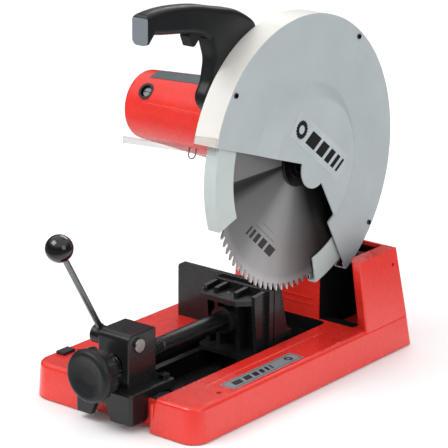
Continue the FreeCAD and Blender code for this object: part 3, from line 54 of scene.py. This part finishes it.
# ---------------------------------------------------------------- shader helpers
class Graph:
    """A material's node tree, with short calls to add and join nodes."""

    def __init__(self, name):
        self.material = bpy.data.materials.new(name)
        self.material.use_nodes = True
        self.tree = self.material.node_tree
        self.shader = self.tree.nodes["Principled BSDF"]
        self.output = self.tree.nodes["Material Output"]
        texture = self.add("ShaderNodeTexCoord")
        self.coords = texture.outputs["Object"]
        self.normal = texture.outputs["Normal"]
        self.bump_chain = None

    def add(self, kind, **settings):
        node = self.tree.nodes.new(kind)
        for key, value in settings.items():
            setattr(node, key, value)
        return node

    def join(self, source, target):
        self.tree.links.new(source, target)

    def put(self, target, value):
        if hasattr(value, "is_linked"):
            self.join(value, target)
        else:
            target.default_value = value

    def math(self, operation, a, b=0.0, c=0.0):
        node = self.add("ShaderNodeMath", operation=operation)
        for i, value in enumerate((a, b, c)):
            self.put(node.inputs[i], value)
        return node.outputs[0]

    def noise(self, scale, detail=3.0, roughness=0.55, stretch=None, distortion=0.0):
        node = self.add("ShaderNodeTexNoise")
        source = self.coords
        if stretch:
            mapping = self.add("ShaderNodeMapping")
            mapping.inputs["Scale"].default_value = stretch
            self.join(source, mapping.inputs["Vector"])
            source = mapping.outputs[0]
        self.join(source, node.inputs["Vector"])
        node.inputs["Scale"].default_value = scale
        node.inputs["Detail"].default_value = detail
        node.inputs["Roughness"].default_value = roughness
        node.inputs["Distortion"].default_value = distortion
        return node.outputs["Fac"]

    def ramp(self, value, low, high, out_low=0.0, out_high=1.0):
        node = self.add("ShaderNodeMapRange")
        self.put(node.inputs["Value"], value)
        for key, number in (("From Min", low), ("From Max", high), ("To Min", out_low), ("To Max", out_high)):
            self.put(node.inputs[key], number)
        return node.outputs["Result"]

    def mix(self, factor, a, b):
        node = self.add("ShaderNodeMix", data_type="RGBA")
        self.put(node.inputs["Factor"], factor)
        self.put(node.inputs["A"], a)
        self.put(node.inputs["B"], b)
        return node.outputs["Result"]

    def split(self, vector):
        node = self.add("ShaderNodeSeparateXYZ")
        self.join(vector, node.inputs[0])
        return node.outputs

    def within(self, value, low, high):
        """1 where the value lies between low and high, else 0."""
        above = self.math("GREATER_THAN", value, low)
        below = self.math("LESS_THAN", value, high)
        return self.math("MULTIPLY", above, below)

    def polar(self, centre):
        """Distance and angle about an X axis through centre, given as (y, z) in metres."""
        x, y, z = self.split(self.coords)
        y = self.math("SUBTRACT", y, centre[0])
        z = self.math("SUBTRACT", z, centre[1])
        squares = self.math("ADD", self.math("MULTIPLY", y, y), self.math("MULTIPLY", z, z))
        return self.math("SQRT", squares), self.math("ARCTAN2", z, y), y, z

    def bump(self, height, distance, strength=1.0):
        node = self.add("ShaderNodeBump")
        node.inputs["Distance"].default_value = distance
        node.inputs["Strength"].default_value = strength
        self.join(height, node.inputs["Height"])
        if self.bump_chain:
            self.join(self.bump_chain, node.inputs["Normal"])
        self.bump_chain = node.outputs["Normal"]

    def edge(self, radius):
        """1 along sharp outer and inner edges, 0 on flat ground."""
        bevel = self.add("ShaderNodeBevel", samples=4)
        bevel.inputs["Radius"].default_value = radius
        geometry = self.add("ShaderNodeNewGeometry")
        dot = self.add("ShaderNodeVectorMath", operation="DOT_PRODUCT")
        self.join(bevel.outputs[0], dot.inputs[0])
        self.join(geometry.outputs["Normal"], dot.inputs[1])
        return self.ramp(dot.outputs["Value"], 0.97, 0.80)

    def finish(self, color, roughness, metallic=0.0, coat=0.0, coat_roughness=0.1, specular=0.5):
        self.put(self.shader.inputs["Base Color"], color)
        self.put(self.shader.inputs["Roughness"], roughness)
        self.put(self.shader.inputs["Metallic"], metallic)
        self.put(self.shader.inputs["Coat Weight"], coat)
        self.put(self.shader.inputs["Coat Roughness"], coat_roughness)
        self.put(self.shader.inputs["Specular IOR Level"], specular)
        if self.bump_chain:
            self.join(self.bump_chain, self.shader.inputs["Normal"])
        return self.material


def shade(color, factor):
    return (color[0] * factor, color[1] * factor, color[2] * factor, 1.0)


def paint(name, color, roughness=0.28, coat=0.6, wear=0.35, specular=0.35, inner=None):
    """Sprayed paint: faint mottling, orange peel and a little wear on edges; inner gives a mask where the inside is
    painted black as painted shade.
    """
    g = Graph(name)
    bare = (0.30, 0.29, 0.28)
    base = g.mix(g.noise(18.0, 4.0), shade(color, 0.88), shade(color, 1.08))
    if inner:
        # Painted shade: the inside is painted black.
        base = g.mix(inner(g), base, shade(BLACK, 0.5))
    worn = g.math("MULTIPLY", g.edge(0.0009), g.ramp(g.noise(140.0, 5.0, 0.7), 0.56, 0.68))
    worn = g.math("MULTIPLY", worn, wear)
    base = g.mix(worn, base, bare + (1.0,))
    rough = g.ramp(g.noise(60.0, 4.0), 0.3, 0.7, roughness * 0.8, roughness * 1.25)
    g.bump(g.noise(420.0, 2.0), 0.00006)
    return g.finish(base, rough, g.math("MULTIPLY", worn, 0.8), coat, 0.08, specular)


def plastic(name, color, roughness=0.5, grain=0.00008, scale=1400.0, coat=0.0, rub=0.3, specular=0.3):
    """Moulded plastic with spark-eroded grain, rubbed smooth on the edges."""
    g = Graph(name)
    base = g.mix(g.noise(30.0, 4.0), shade(color, 0.82), shade(color, 1.25))
    rubbed = g.math("MULTIPLY", g.edge(0.0012), rub)
    base = g.mix(rubbed, base, shade(color, 2.2))
    rough = g.ramp(g.noise(80.0, 3.0), 0.3, 0.7, roughness * 0.85, roughness * 1.15)
    rough = g.math("SUBTRACT", rough, g.math("MULTIPLY", rubbed, 0.2))
    g.bump(g.noise(scale, 2.0, 0.6), grain)
    return g.finish(base, rough, 0.0, coat, 0.1, specular)


def steel(name, color, roughness=0.3, stretch=None, scratch=0.00003, tint=(0.35, 0.30, 0.24), scale=900.0):
    """Machined or plated steel: fine tool marks along one direction and slight staining."""
    g = Graph(name)
    marks = g.noise(scale, 3.0, 0.6, stretch)
    base = g.mix(g.ramp(marks, 0.3, 0.7), shade(color, 0.85), shade(color, 1.12))
    stain = g.ramp(g.noise(26.0, 5.0, 0.65), 0.55, 0.75, 0.0, 0.22)
    base = g.mix(stain, base, tint + (1.0,))
    rough = g.ramp(marks, 0.3, 0.7, roughness * 0.75, roughness * 1.3)
    g.bump(marks, scratch)
    return g.finish(base, rough, 1.0)


def cast_metal(name, color, roughness=0.5):
    """Sand-cast and shot-blasted aluminium."""
    g = Graph(name)
    base = g.mix(g.noise(45.0, 5.0, 0.65), shade(color, 0.75), shade(color, 1.15))
    g.bump(g.noise(700.0, 4.0, 0.7), 0.00018)
    rough = g.ramp(g.noise(90.0, 3.0), 0.3, 0.7, roughness * 0.85, roughness * 1.2)
    return g.finish(base, rough, 0.9)


def base_paint():
    """Red gloss outside; the chip trough and its well are black; the slot in the tower is painted black as painted
    shade.
    """
    g = Graph("base_two_tone")
    x, y, z = g.split(g.coords)
    trough = g.math("MULTIPLY", g.within(x, -0.0606, 0.0671), g.within(y, -0.2246, 0.1318))
    trough = g.math("MULTIPLY", trough, g.within(z, -0.01, 0.0474))
    ledge = g.math("MULTIPLY", g.math("LESS_THAN", z, 0.0085), g.math("LESS_THAN", x, -0.0438))
    trough = g.math("MULTIPLY", trough, g.math("SUBTRACT", 1.0, ledge))
    # Painted shade: the slot in the tower is painted black.
    slot = g.math("MULTIPLY", g.within(x, 0.0497, 0.1072), g.within(y, 0.1345, 0.2260))
    slot = g.math("MULTIPLY", slot, g.within(z, -0.01, 0.1432))
    slot = g.math("MULTIPLY", slot, g.math("LESS_THAN", g.split(g.normal)[1], 0.3))
    inside = g.math("MAXIMUM", trough, slot)
    red = g.mix(g.noise(18.0, 4.0), shade(RED, 0.90), shade(RED, 1.05))
    black = g.mix(g.noise(50.0, 4.0), shade(BLACK, 0.5), shade(BLACK, 0.9))
    base = g.mix(inside, red, black)
    worn = g.math("MULTIPLY", g.edge(0.0010), g.ramp(g.noise(120.0, 5.0, 0.7), 0.60, 0.70))
    worn = g.math("MULTIPLY", worn, 0.25)
    base = g.mix(worn, base, (0.33, 0.20, 0.18, 1.0))
    dust = g.ramp(g.noise(35.0, 6.0, 0.7), 0.55, 0.8, 0.0, 0.02)
    base = g.mix(dust, base, (0.45, 0.36, 0.33, 1.0))
    rough = g.ramp(g.noise(60.0, 4.0), 0.3, 0.7, 0.22, 0.32)
    g.bump(g.noise(9.0, 2.0), 0.0005)
    g.bump(g.noise(420.0, 2.0), 0.00006)
    outside = g.math("SUBTRACT", 1.0, inside)
    return g.finish(base, rough, 0.0, g.math("MULTIPLY", outside, 0.55), 0.08, g.math("MULTIPLY", outside, 0.35))


def guard_inner_shade(g):
    """1 on the inner side of the guard's rim and back wall; this side is painted black as painted shade."""
    radius, angle, y, z = g.polar((0.0617, 0.2926))
    nx, ny, nz = g.split(g.normal)
    facing = g.math("ADD", g.math("MULTIPLY", ny, y), g.math("MULTIPLY", nz, z))
    facing = g.math("DIVIDE", facing, radius)
    inward = g.math("LESS_THAN", facing, -0.3)
    x = g.split(g.coords)[0]
    back = g.math("MULTIPLY", g.math("GREATER_THAN", nx, 0.7), g.math("LESS_THAN", x, 0.052))
    back = g.math("MULTIPLY", back, g.math("LESS_THAN", radius, 0.199))
    return g.math("MAXIMUM", inward, back)


def cover_inner_shade(g):
    """1 on the side of the cover that faces the blade; this side is painted black as painted shade."""
    return g.math("LESS_THAN", g.split(g.normal)[0], -0.3)


def rubber(name, color):
    g = Graph(name)
    base = g.mix(g.noise(60.0, 4.0), shade(color, 0.8), shade(color, 1.5))
    g.bump(g.noise(1500.0, 2.0), 0.00006)
    return g.finish(base, g.ramp(g.noise(120.0, 3.0), 0.3, 0.7, 0.6, 0.85), 0.0)


def clear(name, color):
    """Thin clear sheet, painted greyer along its edges as painted edge shade, with faint scratches."""
    g = Graph(name)
    marks = g.noise(500.0, 3.0, 0.7, (0.15, 1.0, 1.0))
    rough = g.ramp(marks, 0.55, 0.75, 0.06, 0.35)
    g.bump(g.noise(14.0, 2.0), 0.0002)
    rim = g.edge(0.0009)
    # Painted edge shade: the sheet is painted greyer along its edges.
    tint = g.mix(rim, color, (0.16, 0.17, 0.17, 1.0))
    material = g.finish(tint, rough, 0.0)
    g.put(g.shader.inputs["Transmission Weight"], g.math("SUBTRACT", 1.0, g.math("MULTIPLY", rim, 0.9)))
    g.shader.inputs["IOR"].default_value = 1.2
    g.put(g.shader.inputs["Alpha"], g.ramp(rim, 0.0, 1.0, 0.22, 0.9))
    return material


def blade_material():
    """Ground steel: painted reflection fans of light and dark about the arbor, fine rings and a brighter band at the
    teeth.
    """
    g = Graph("blade_ground")
    radius, angle, y, z = g.polar((0.0582, 0.2975))
    rings = g.add("ShaderNodeTexNoise")
    ring_in = g.add("ShaderNodeCombineXYZ")
    g.join(radius, ring_in.inputs[0])
    g.join(ring_in.outputs[0], rings.inputs["Vector"])
    rings.inputs["Scale"].default_value = 2600.0
    rings.inputs["Detail"].default_value = 3.0
    ring = rings.outputs["Fac"]
    turn = g.ramp(angle, -math.pi, math.pi)
    # Painted reflection: the fans of light and dark are painted into the colour.
    fans = g.add("ShaderNodeValToRGB")
    g.join(turn, fans.inputs[0])
    stops = fans.color_ramp.elements
    while len(stops) > 1:
        stops.remove(stops[-1])
    stops[0].position = 0.0
    stops[0].color = (0.10, 0.10, 0.10, 1.0)
    for degrees, tone in BLADE_REFLECTION_FANS:
        stop = stops.new(degrees / 360.0)
        stop.color = (tone, tone, tone, 1.0)
    tone = g.split(fans.outputs[0])[0]
    band = g.ramp(radius, 0.158, 0.166)
    tone = g.math("ADD", tone, g.math("MULTIPLY", band, 0.10))
    tone = g.math("MULTIPLY", tone, g.ramp(ring, 0.3, 0.7, 0.92, 1.08))
    color = g.add("ShaderNodeCombineColor")
    for i, factor in enumerate((0.99, 1.0, 1.01)):
        g.join(g.math("MULTIPLY", tone, factor), color.inputs[i])
    stain = g.ramp(g.noise(22.0, 5.0, 0.6), 0.5, 0.8, 0.0, 0.12)
    base = g.mix(stain, color.outputs[0], (0.20, 0.195, 0.19, 1.0))
    g.bump(ring, 0.00002)
    material = g.finish(base, g.ramp(ring, 0.3, 0.7, 0.32, 0.48), 0.75)
    g.shader.inputs["Anisotropic"].default_value = 0.5
    tangent = g.add("ShaderNodeTangent", direction_type="RADIAL", axis="X")
    g.join(tangent.outputs[0], g.shader.inputs["Tangent"])
    return material


def grip_material():
    """Black grip with satin sheen; the end face on the nose is painted grey as a painted reflection."""
    g = Graph("grip_moulding")
    x, y, z = g.split(g.coords)
    nose = g.math("LESS_THAN", y, -0.2136)
    base = g.mix(g.noise(30.0, 4.0), shade(GRIP, 0.8), shade(GRIP, 1.3))
    rubbed = g.math("MULTIPLY", g.edge(0.0012), 0.3)
    base = g.mix(rubbed, base, shade(GRIP, 2.5))
    # Painted reflection: the flat end face on the nose is painted grey.
    base = g.mix(nose, base, (0.165, 0.185, 0.205, 1.0))
    rough = g.ramp(g.noise(80.0, 3.0), 0.3, 0.7, 0.32, 0.44)
    g.bump(g.noise(1400.0, 2.0, 0.6), 0.00008)
    return g.finish(base, rough, 0.0, 0.0, 0.1, 0.35)


RED = (0.74, 0.030, 0.021)
BLACK = (0.0105, 0.0112, 0.0122)
GRIP = (0.0085, 0.0100, 0.0110)

# Brightness of the blade's painted reflection fans against the angle in degrees, counted from the rear, through below,
# to above.
BLADE_REFLECTION_FANS = [(2, 0.05), (6, 0.05), (14, 0.27), (36, 0.33), (48, 0.54), (60, 0.58), (72, 0.50), (84, 0.30), (98, 0.15)]
BLADE_REFLECTION_FANS += [(112, 0.03), (150, 0.03), (200, 0.30), (260, 0.10), (300, 0.35), (352, 0.38)]

MATERIALS = {
    "red_paint": paint("red_gloss", RED, 0.27, 0.4),
    "grey_paint": paint("cover_grey", (0.395, 0.438, 0.452), 0.45, 0.1, wear=0.1, inner=cover_inner_shade),
    "light_paint": paint("rim_white", (0.70, 0.685, 0.645), 0.45, 0.1, wear=0.1, inner=guard_inner_shade),
    "guard_paint": paint("guard_pale", (0.47, 0.53, 0.52), 0.42, 0.15, wear=0.15),
    "black_paint": paint("black_gloss", BLACK, 0.28, 0.15, wear=0.3),
    "black_oxide": steel("black_oxide", (0.05, 0.052, 0.055), 0.35),
    "zinc_steel": steel("zinc_plate", (0.45, 0.44, 0.41), 0.35),
    "ground_steel": steel("turned_steel", (0.34, 0.34, 0.34), 0.28, (1.0, 0.1, 0.1)),
    "blade_steel": blade_material(),
    "carbide": steel("carbide_tip", (0.82, 0.81, 0.78), 0.22),
    "cast_aluminium": cast_metal("cast_alloy", (0.38, 0.39, 0.40)),
    "black_plastic": plastic("black_moulding", BLACK, 0.42),
    "grip_plastic": grip_material(),
    "ball_plastic": plastic("ball_phenolic", (0.006, 0.006, 0.007), 0.12, 0.00001, 300.0, 0.8),
    # Painted reflection: the pink tint stands in for the red motor seen through the sheet.
    "clear_plastic": clear("clear_sheet", (0.80, 0.66, 0.62, 1.0)),
    "rubber": rubber("black_rubber", (0.014, 0.014, 0.014)),
    "label": plastic("label_film", (0.395, 0.438, 0.452), 0.40, 0.00002, 800.0),
    "copper": steel("copper_wire", (0.75, 0.30, 0.15), 0.35),
    "carbon": rubber("pressed_carbon", (0.02, 0.02, 0.02)),
    "lamination": steel("lamination_steel", (0.25, 0.25, 0.27), 0.45),
}


def dress(node, material):
    mesh = NODES[node].data
    mesh.materials.clear()
    mesh.materials.append(material)


def dress_all():
    for entry in frame["record"]["subparts"]:
        dress(entry["node"], MATERIALS[entry["material_slot"]])


def soften(node, width, segments=2):
    """Rounds a node's sharp edges for the eye."""
    bevel = NODES[node].modifiers.new("soft_edges", "BEVEL")
    bevel.width = width
    bevel.segments = segments
    bevel.limit_method = "ANGLE"
    bevel.angle_limit = math.radians(38)
    bevel.harden_normals = False
    bevel.use_clamp_overlap = True


dress_all()
dress("base_casting", base_paint())
dress("deck_nameplate", plastic("plate_grey", (0.21, 0.22, 0.24), 0.35, 0.00002, 800.0))
dress("motor_nameplate", plastic("plate_dark", (0.075, 0.095, 0.105), 0.35, 0.00002, 800.0))
dress("lever_rod", steel("lever_steel", (0.20, 0.22, 0.225), 0.30, (1.0, 1.0, 0.2)))
dress("wire_hook", steel("wire_dark", (0.16, 0.14, 0.13), 0.40))
dress("cover_screws", MATERIALS["black_oxide"])
dress("trough_bars", steel("bar_dark", (0.035, 0.036, 0.038), 0.45))
dress("brush_plugs", cast_metal("plug_alloy", (0.22, 0.23, 0.24)))
for crisp in ("vise_block", "front_bracket", "fence", "movable_jaw", "chip_tray", "switch_body", "trigger", "brush_caps"):
    soften(crisp, 0.0005)


# ---------------------------------------------------------------- extra meshes
def new_piece(name, vertices, faces, material, body, smooth=True, auto=40.0):
    mesh = bpy.data.meshes.new(name)
    mesh.from_pydata(vertices, [], faces)
    work = bmesh.new()
    work.from_mesh(mesh)
    bmesh.ops.remove_doubles(work, verts=work.verts, dist=1e-6)
    bmesh.ops.recalc_face_normals(work, faces=work.faces)
    for face in work.faces:
        face.smooth = smooth
    for edge in work.edges:
        if len(edge.link_faces) == 2 and edge.calc_face_angle(0.0) > math.radians(auto):
            edge.smooth = False
    work.to_mesh(mesh)
    work.free()
    mesh.materials.append(material)
    obj = bpy.data.objects.new(name, mesh)
    bpy.context.scene.collection.objects.link(obj)
    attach(obj, body)
    return obj


def turned_y(rows, x, z, radius_at, segments):
    """Grid turned about a Y axis; rows are (y, r) and radius_at bends r at each angle."""
    vertices = []
    faces = []
    for y, r in rows:
        for k in range(segments):
            a = 2 * math.pi * k / segments
            bent = radius_at(y, r, a)
            vertices.append(((x + bent * math.cos(a)) * MM, y * MM, (z + bent * math.sin(a)) * MM))
    for i in range(len(rows) - 1):
        for k in range(segments):
            j = (k + 1) % segments
            faces.append((i * segments + k, i * segments + j, (i + 1) * segments + j, (i + 1) * segments + k))
    first = list(range(segments))
    last = [(len(rows) - 1) * segments + k for k in range(segments)]
    faces.append(tuple(first))
    faces.append(tuple(last))
    return vertices, faces


def smooth_rows(points, steps):
    """Catmull-Rom curve through (y, r) points."""
    rows = []
    for i in range(len(points) - 1):
        p0 = points[max(i - 1, 0)]
        p1 = points[i]
        p2 = points[i + 1]
        p3 = points[min(i + 2, len(points) - 1)]
        for k in range(steps):
            t = k / steps
            row = []
            for a, b, c, d in zip(p0, p1, p2, p3):
                row.append(0.5 * (2 * b + (c - a) * t + (2 * a - 5 * b + 4 * c - d) * t * t + (3 * b - a - 3 * c + d) * t ** 3))
            rows.append(tuple(row))
    rows.append(points[-1])
    return rows


SCREW_Z = 78.0
WHEEL_FRONT = -297.0


def handwheel_piece():
    """Moulded handwheel: soft dished face in front, deep eight-lobed grip ring and a hub behind."""
    front = WHEEL_FRONT
    outline = [(6.0, 0.3), (6.0, 7.0), (5.6, 12.0), (3.9, 17.5), (1.5, 23.0), (0.1, 28.0), (1.2, 32.0)]
    outline += [(4.4, 34.7), (8.0, 35.6), (11.4, 35.0), (12.9, 33.9), (14.4, 33.7), (20.0, 33.9), (25.4, 33.7)]
    outline += [(27.4, 32.4), (27.9, 29.5), (28.0, 24.0), (28.1, 18.0), (28.4, 15.4), (30.5, 15.0), (32.4, 14.8)]
    outline += [(33.0, 14.0), (33.0, 8.1)]
    rows = smooth_rows([(front + depth, r) for depth, r in outline], 4)
    lobes = 8
    scoop_at, scoop_r = 38.5, 9.5

    def radius_at(y, r, a):
        pitch = 2 * math.pi / lobes
        off = (a + pitch / 2) % pitch - pitch / 2
        side = scoop_at * math.sin(off)
        if y < front + 12.6 or abs(side) >= scoop_r:
            return r
        fade = min(1.0, (y - front - 12.6) / 1.6)
        floor_r = scoop_at * math.cos(off) - math.sqrt(scoop_r ** 2 - side ** 2)
        return r - fade * max(0.0, r - floor_r)

    vertices, faces = turned_y(rows, 0.0, SCREW_Z, radius_at, 240)
    piece = new_piece("handwheel_moulding", vertices, faces, MATERIALS["black_plastic"], "screw", auto=50.0)
    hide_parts("handwheel")


def screw_piece():
    """Vise screw with a real helical thread towards the handwheel and a plain bar towards the jaw."""
    low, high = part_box("vise_screw")
    y0 = low[1] / MM
    y1 = high[1] / MM
    bar = 12.5
    shoulder = WHEEL_FRONT + 33.1
    thread_from, thread_to, pitch, depth = shoulder + 2.0, -152.0, 5.0, 1.5
    rows = [(y0, 7.9), (shoulder - 0.05, 7.9), (shoulder, bar - 1.6), (shoulder + 1.3, bar - 0.1)]
    y = thread_from
    while y < thread_to:
        rows.append((y, bar))
        y += 0.42
    rows += [(-150.0, bar), (-11.0, bar), (-10.6, bar - 0.4), (-10.5, bar - 2.0), (-5.5, bar - 2.0), (-5.4, bar - 0.4)]
    rows += [(-5.0, bar), (y1 - 0.6, bar), (y1, bar - 0.6)]

    def radius_at(y, r, a):
        if y < thread_from or y > thread_to:
            return r
        phase = (y / pitch - a / (2 * math.pi)) % 1.0
        rise = abs(phase - 0.5) * 2.0
        cut = min(1.0, max(0.0, (rise - 0.38) / 0.24))
        fade = min(1.0, (y - thread_from) / 4.0, (thread_to - y) / 4.0)
        return r - depth * cut * fade

    vertices, faces = turned_y(rows, 0.0, SCREW_Z, radius_at, 72)
    dark = steel("screw_steel", (0.060, 0.064, 0.066), 0.38, (1.0, 0.1, 0.1))
    piece = new_piece("screw_thread", vertices, faces, dark, "screw", auto=35.0)
    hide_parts("vise_screw")


def decal(name, outlines, origin, u_axis, v_axis, material, body):
    """Thin printed shapes: each outline is a list of (u, v) points in millimetres."""
    vertices = []
    faces = []
    o, u_axis, v_axis = Vector(origin), Vector(u_axis), Vector(v_axis)
    for outline in outlines:
        start = len(vertices)
        for u, v in outline:
            vertices.append((o + u_axis * u + v_axis * v) * MM)
        faces.append(tuple(range(start, start + len(outline))))
    mesh = bpy.data.meshes.new(name)
    mesh.from_pydata([tuple(v) for v in vertices], [], faces)
    mesh.materials.append(material)
    obj = bpy.data.objects.new(name, mesh)
    bpy.context.scene.collection.objects.link(obj)
    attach(obj, body)
    return obj


def slanted_bars(u0, widths, gap, half_height, lean):
    bars = []
    u = u0
    for width in widths:
        bars.append([(u - lean, -half_height), (u + width - lean, -half_height), (u + width + lean, half_height), (u + lean, half_height)])
        u += width + gap
    return bars


def toothed_ring(u, v, r_in, r_out, teeth):
    """A generic blade pictogram, as quads round a ring."""
    shapes = []
    for i in range(teeth):
        a0 = 2 * math.pi * i / teeth
        a1 = 2 * math.pi * (i + 1) / teeth
        am = a0 + (a1 - a0) * 0.8
        shapes.append([(u + r * math.cos(a), v + r * math.sin(a)) for r, a in ((r_in, a0), (r_out * 0.86, a0), (r_out, am), (r_out * 0.86, a1), (r_in, a1))])
    return shapes


def emblems():
    """Generic marks in place of lettering."""
    ink = plastic("printed_ink", (0.012, 0.012, 0.013), 0.4, 0.00001, 500.0)
    etched = plastic("etched_grey", (0.035, 0.035, 0.036), 0.45, 0.00001, 500.0)
    tilt = math.radians(-37.5)
    along = (0.0, math.cos(tilt), math.sin(tilt))
    across = (0.0, -math.sin(tilt), math.cos(tilt))
    shapes = toothed_ring(-50.0, 0.0, 6.0, 13.5, 18) + slanted_bars(-29.0, (24.0, 18.0, 12.0, 8.0, 5.0), 6.0, 10.5, 3.6)
    decal("cover_emblem", shapes, (90.46, 69.8, 318.8), along, across, ink, "head")
    tilt = math.radians(139.0)
    along = (0.0, math.cos(tilt), math.sin(tilt))
    across = (0.0, -math.sin(tilt), math.cos(tilt))
    shapes = slanted_bars(-38.0, (18.0, 13.0, 9.0, 6.0, 4.0), 5.0, 7.0, 2.4)
    shapes += [[(-30, -13), (22, -13), (22, -12.4), (-30, -12.4)], [(-20, -22), (10, -22), (10, -21.5), (-20, -21.5)]]
    decal("blade_emblem", shapes, (64.27, -24.0, 205.0), along, across, etched, "blade")
    frame_lines = [[(-73, -10), (73, -10), (73, -9.2), (-73, -9.2)], [(-73, 9.2), (73, 9.2), (73, 10), (-73, 10)]]
    frame_lines += [[(-73, -9.2), (-72.2, -9.2), (-72.2, 9.2), (-73, 9.2)], [(72.2, -9.2), (73, -9.2), (73, 9.2), (72.2, 9.2)]]
    bars = slanted_bars(-62.0, (18.0, 14.0, 10.0, 7.0, 5.0, 3.0), 5.0, 5.5, 2.2)
    marks = frame_lines + bars + toothed_ring(56.0, 0.0, 3.0, 6.5, 14)
    decal("deck_emblem", marks, (111.0, -75.0, 48.66), (0, 1, 0), (-1, 0, 0), ink, "base")


handwheel_piece()
screw_piece()
emblems()


# ---------------------------------------------------------------- floor, light and camera
def floor():
    size = 40.0
    mesh = bpy.data.meshes.new("floor")
    mesh.from_pydata([(-size, -size, 0), (size, -size, 0), (size, size, 0), (-size, size, 0)], [], [(0, 1, 2, 3)])
    obj = bpy.data.objects.new("floor", mesh)
    bpy.context.scene.collection.objects.link(obj)
    g = Graph("studio_floor")
    x, y, z = g.split(g.coords)
    away = g.math("SQRT", g.math("ADD", g.math("MULTIPLY", x, x), g.math("MULTIPLY", y, y)))
    glossy = g.add("ShaderNodeLightPath").outputs["Is Glossy Ray"]
    dim = g.math("MULTIPLY", glossy, g.ramp(away, 0.35, 0.75))
    tone = g.mix(dim, (0.94, 0.94, 0.94, 1.0), (0.10, 0.10, 0.10, 1.0))
    mesh.materials.append(g.finish(tone, 0.8, 0.0, specular=0.1))


def area_light(name, place, target, size, power, color=(1.0, 1.0, 1.0)):
    data = bpy.data.lights.new(name, "AREA")
    data.shape = "RECTANGLE"
    data.size, data.size_y = size
    data.energy = power
    data.color = color
    obj = bpy.data.objects.new(name, data)
    obj.location = place
    obj.rotation_euler = (Vector(target) - Vector(place)).to_track_quat("-Z", "Y").to_euler()
    bpy.context.scene.collection.objects.link(obj)


def studio_world():
    """Even white surround for diffuse light; reflections see a dim horizon and a bright ceiling."""
    world = bpy.data.worlds.new("studio")
    world.use_nodes = True
    tree = world.node_tree
    background = tree.nodes["Background"]
    coords = tree.nodes.new("ShaderNodeTexCoord")
    split = tree.nodes.new("ShaderNodeSeparateXYZ")
    tree.links.new(coords.outputs["Generated"], split.inputs[0])
    lift = tree.nodes.new("ShaderNodeMapRange")
    lift.interpolation_type = "SMOOTHSTEP"
    tree.links.new(split.outputs[2], lift.inputs["Value"])
    lift.inputs["From Min"].default_value = 0.25
    lift.inputs["From Max"].default_value = 0.75
    lift.inputs["To Min"].default_value = 0.05
    lift.inputs["To Max"].default_value = 0.95
    path = tree.nodes.new("ShaderNodeLightPath")
    choice = tree.nodes.new("ShaderNodeMix")
    tree.links.new(path.outputs["Is Glossy Ray"], choice.inputs["Factor"])
    choice.inputs["A"].default_value = AMBIENT
    tree.links.new(lift.outputs["Result"], choice.inputs["B"])
    background.inputs[0].default_value = (1.0, 1.0, 1.0, 1.0)
    tree.links.new(choice.outputs["Result"], background.inputs[1])
    bpy.context.scene.world = world


def lights():
    studio_world()
    centre = (0.0, 0.0, 0.25)
    area_light("key", (-0.9, -1.6, 2.2), centre, (1.6, 1.2), 34.0)
    area_light("right_fill", (2.4, -0.6, 1.2), centre, (1.4, 1.4), 12.0)
    area_light("back_rim", (-0.8, 2.0, 1.8), centre, (1.6, 0.8), 14.0)


def camera():
    """Long lens at the front right, a little above, slightly rolled."""
    yaw, pitch, roll = 0.669, 0.304, 0.008
    data = bpy.data.cameras.new("camera")
    data.sensor_width = 36.0
    data.lens = 2142.8 / 448.0 * 36.0
    data.clip_end = 100.0
    forward = Vector((-math.sin(yaw) * math.cos(pitch), math.cos(yaw) * math.cos(pitch), -math.sin(pitch)))
    right = Vector((math.cos(yaw), math.sin(yaw), 0.0))
    up = right.cross(forward)
    turned = right * math.cos(roll) + up * math.sin(roll)
    up = turned.cross(forward)
    matrix = Matrix((turned, up, -forward)).transposed().to_4x4()
    matrix.translation = Vector((1.6940, -2.1612, 1.0705))
    obj = bpy.data.objects.new("camera", data)
    obj.matrix_world = matrix
    bpy.context.scene.collection.objects.link(obj)
    bpy.context.scene.camera = obj


floor()
lights()
camera()
bpy.context.scene.view_settings.view_transform = "Standard"
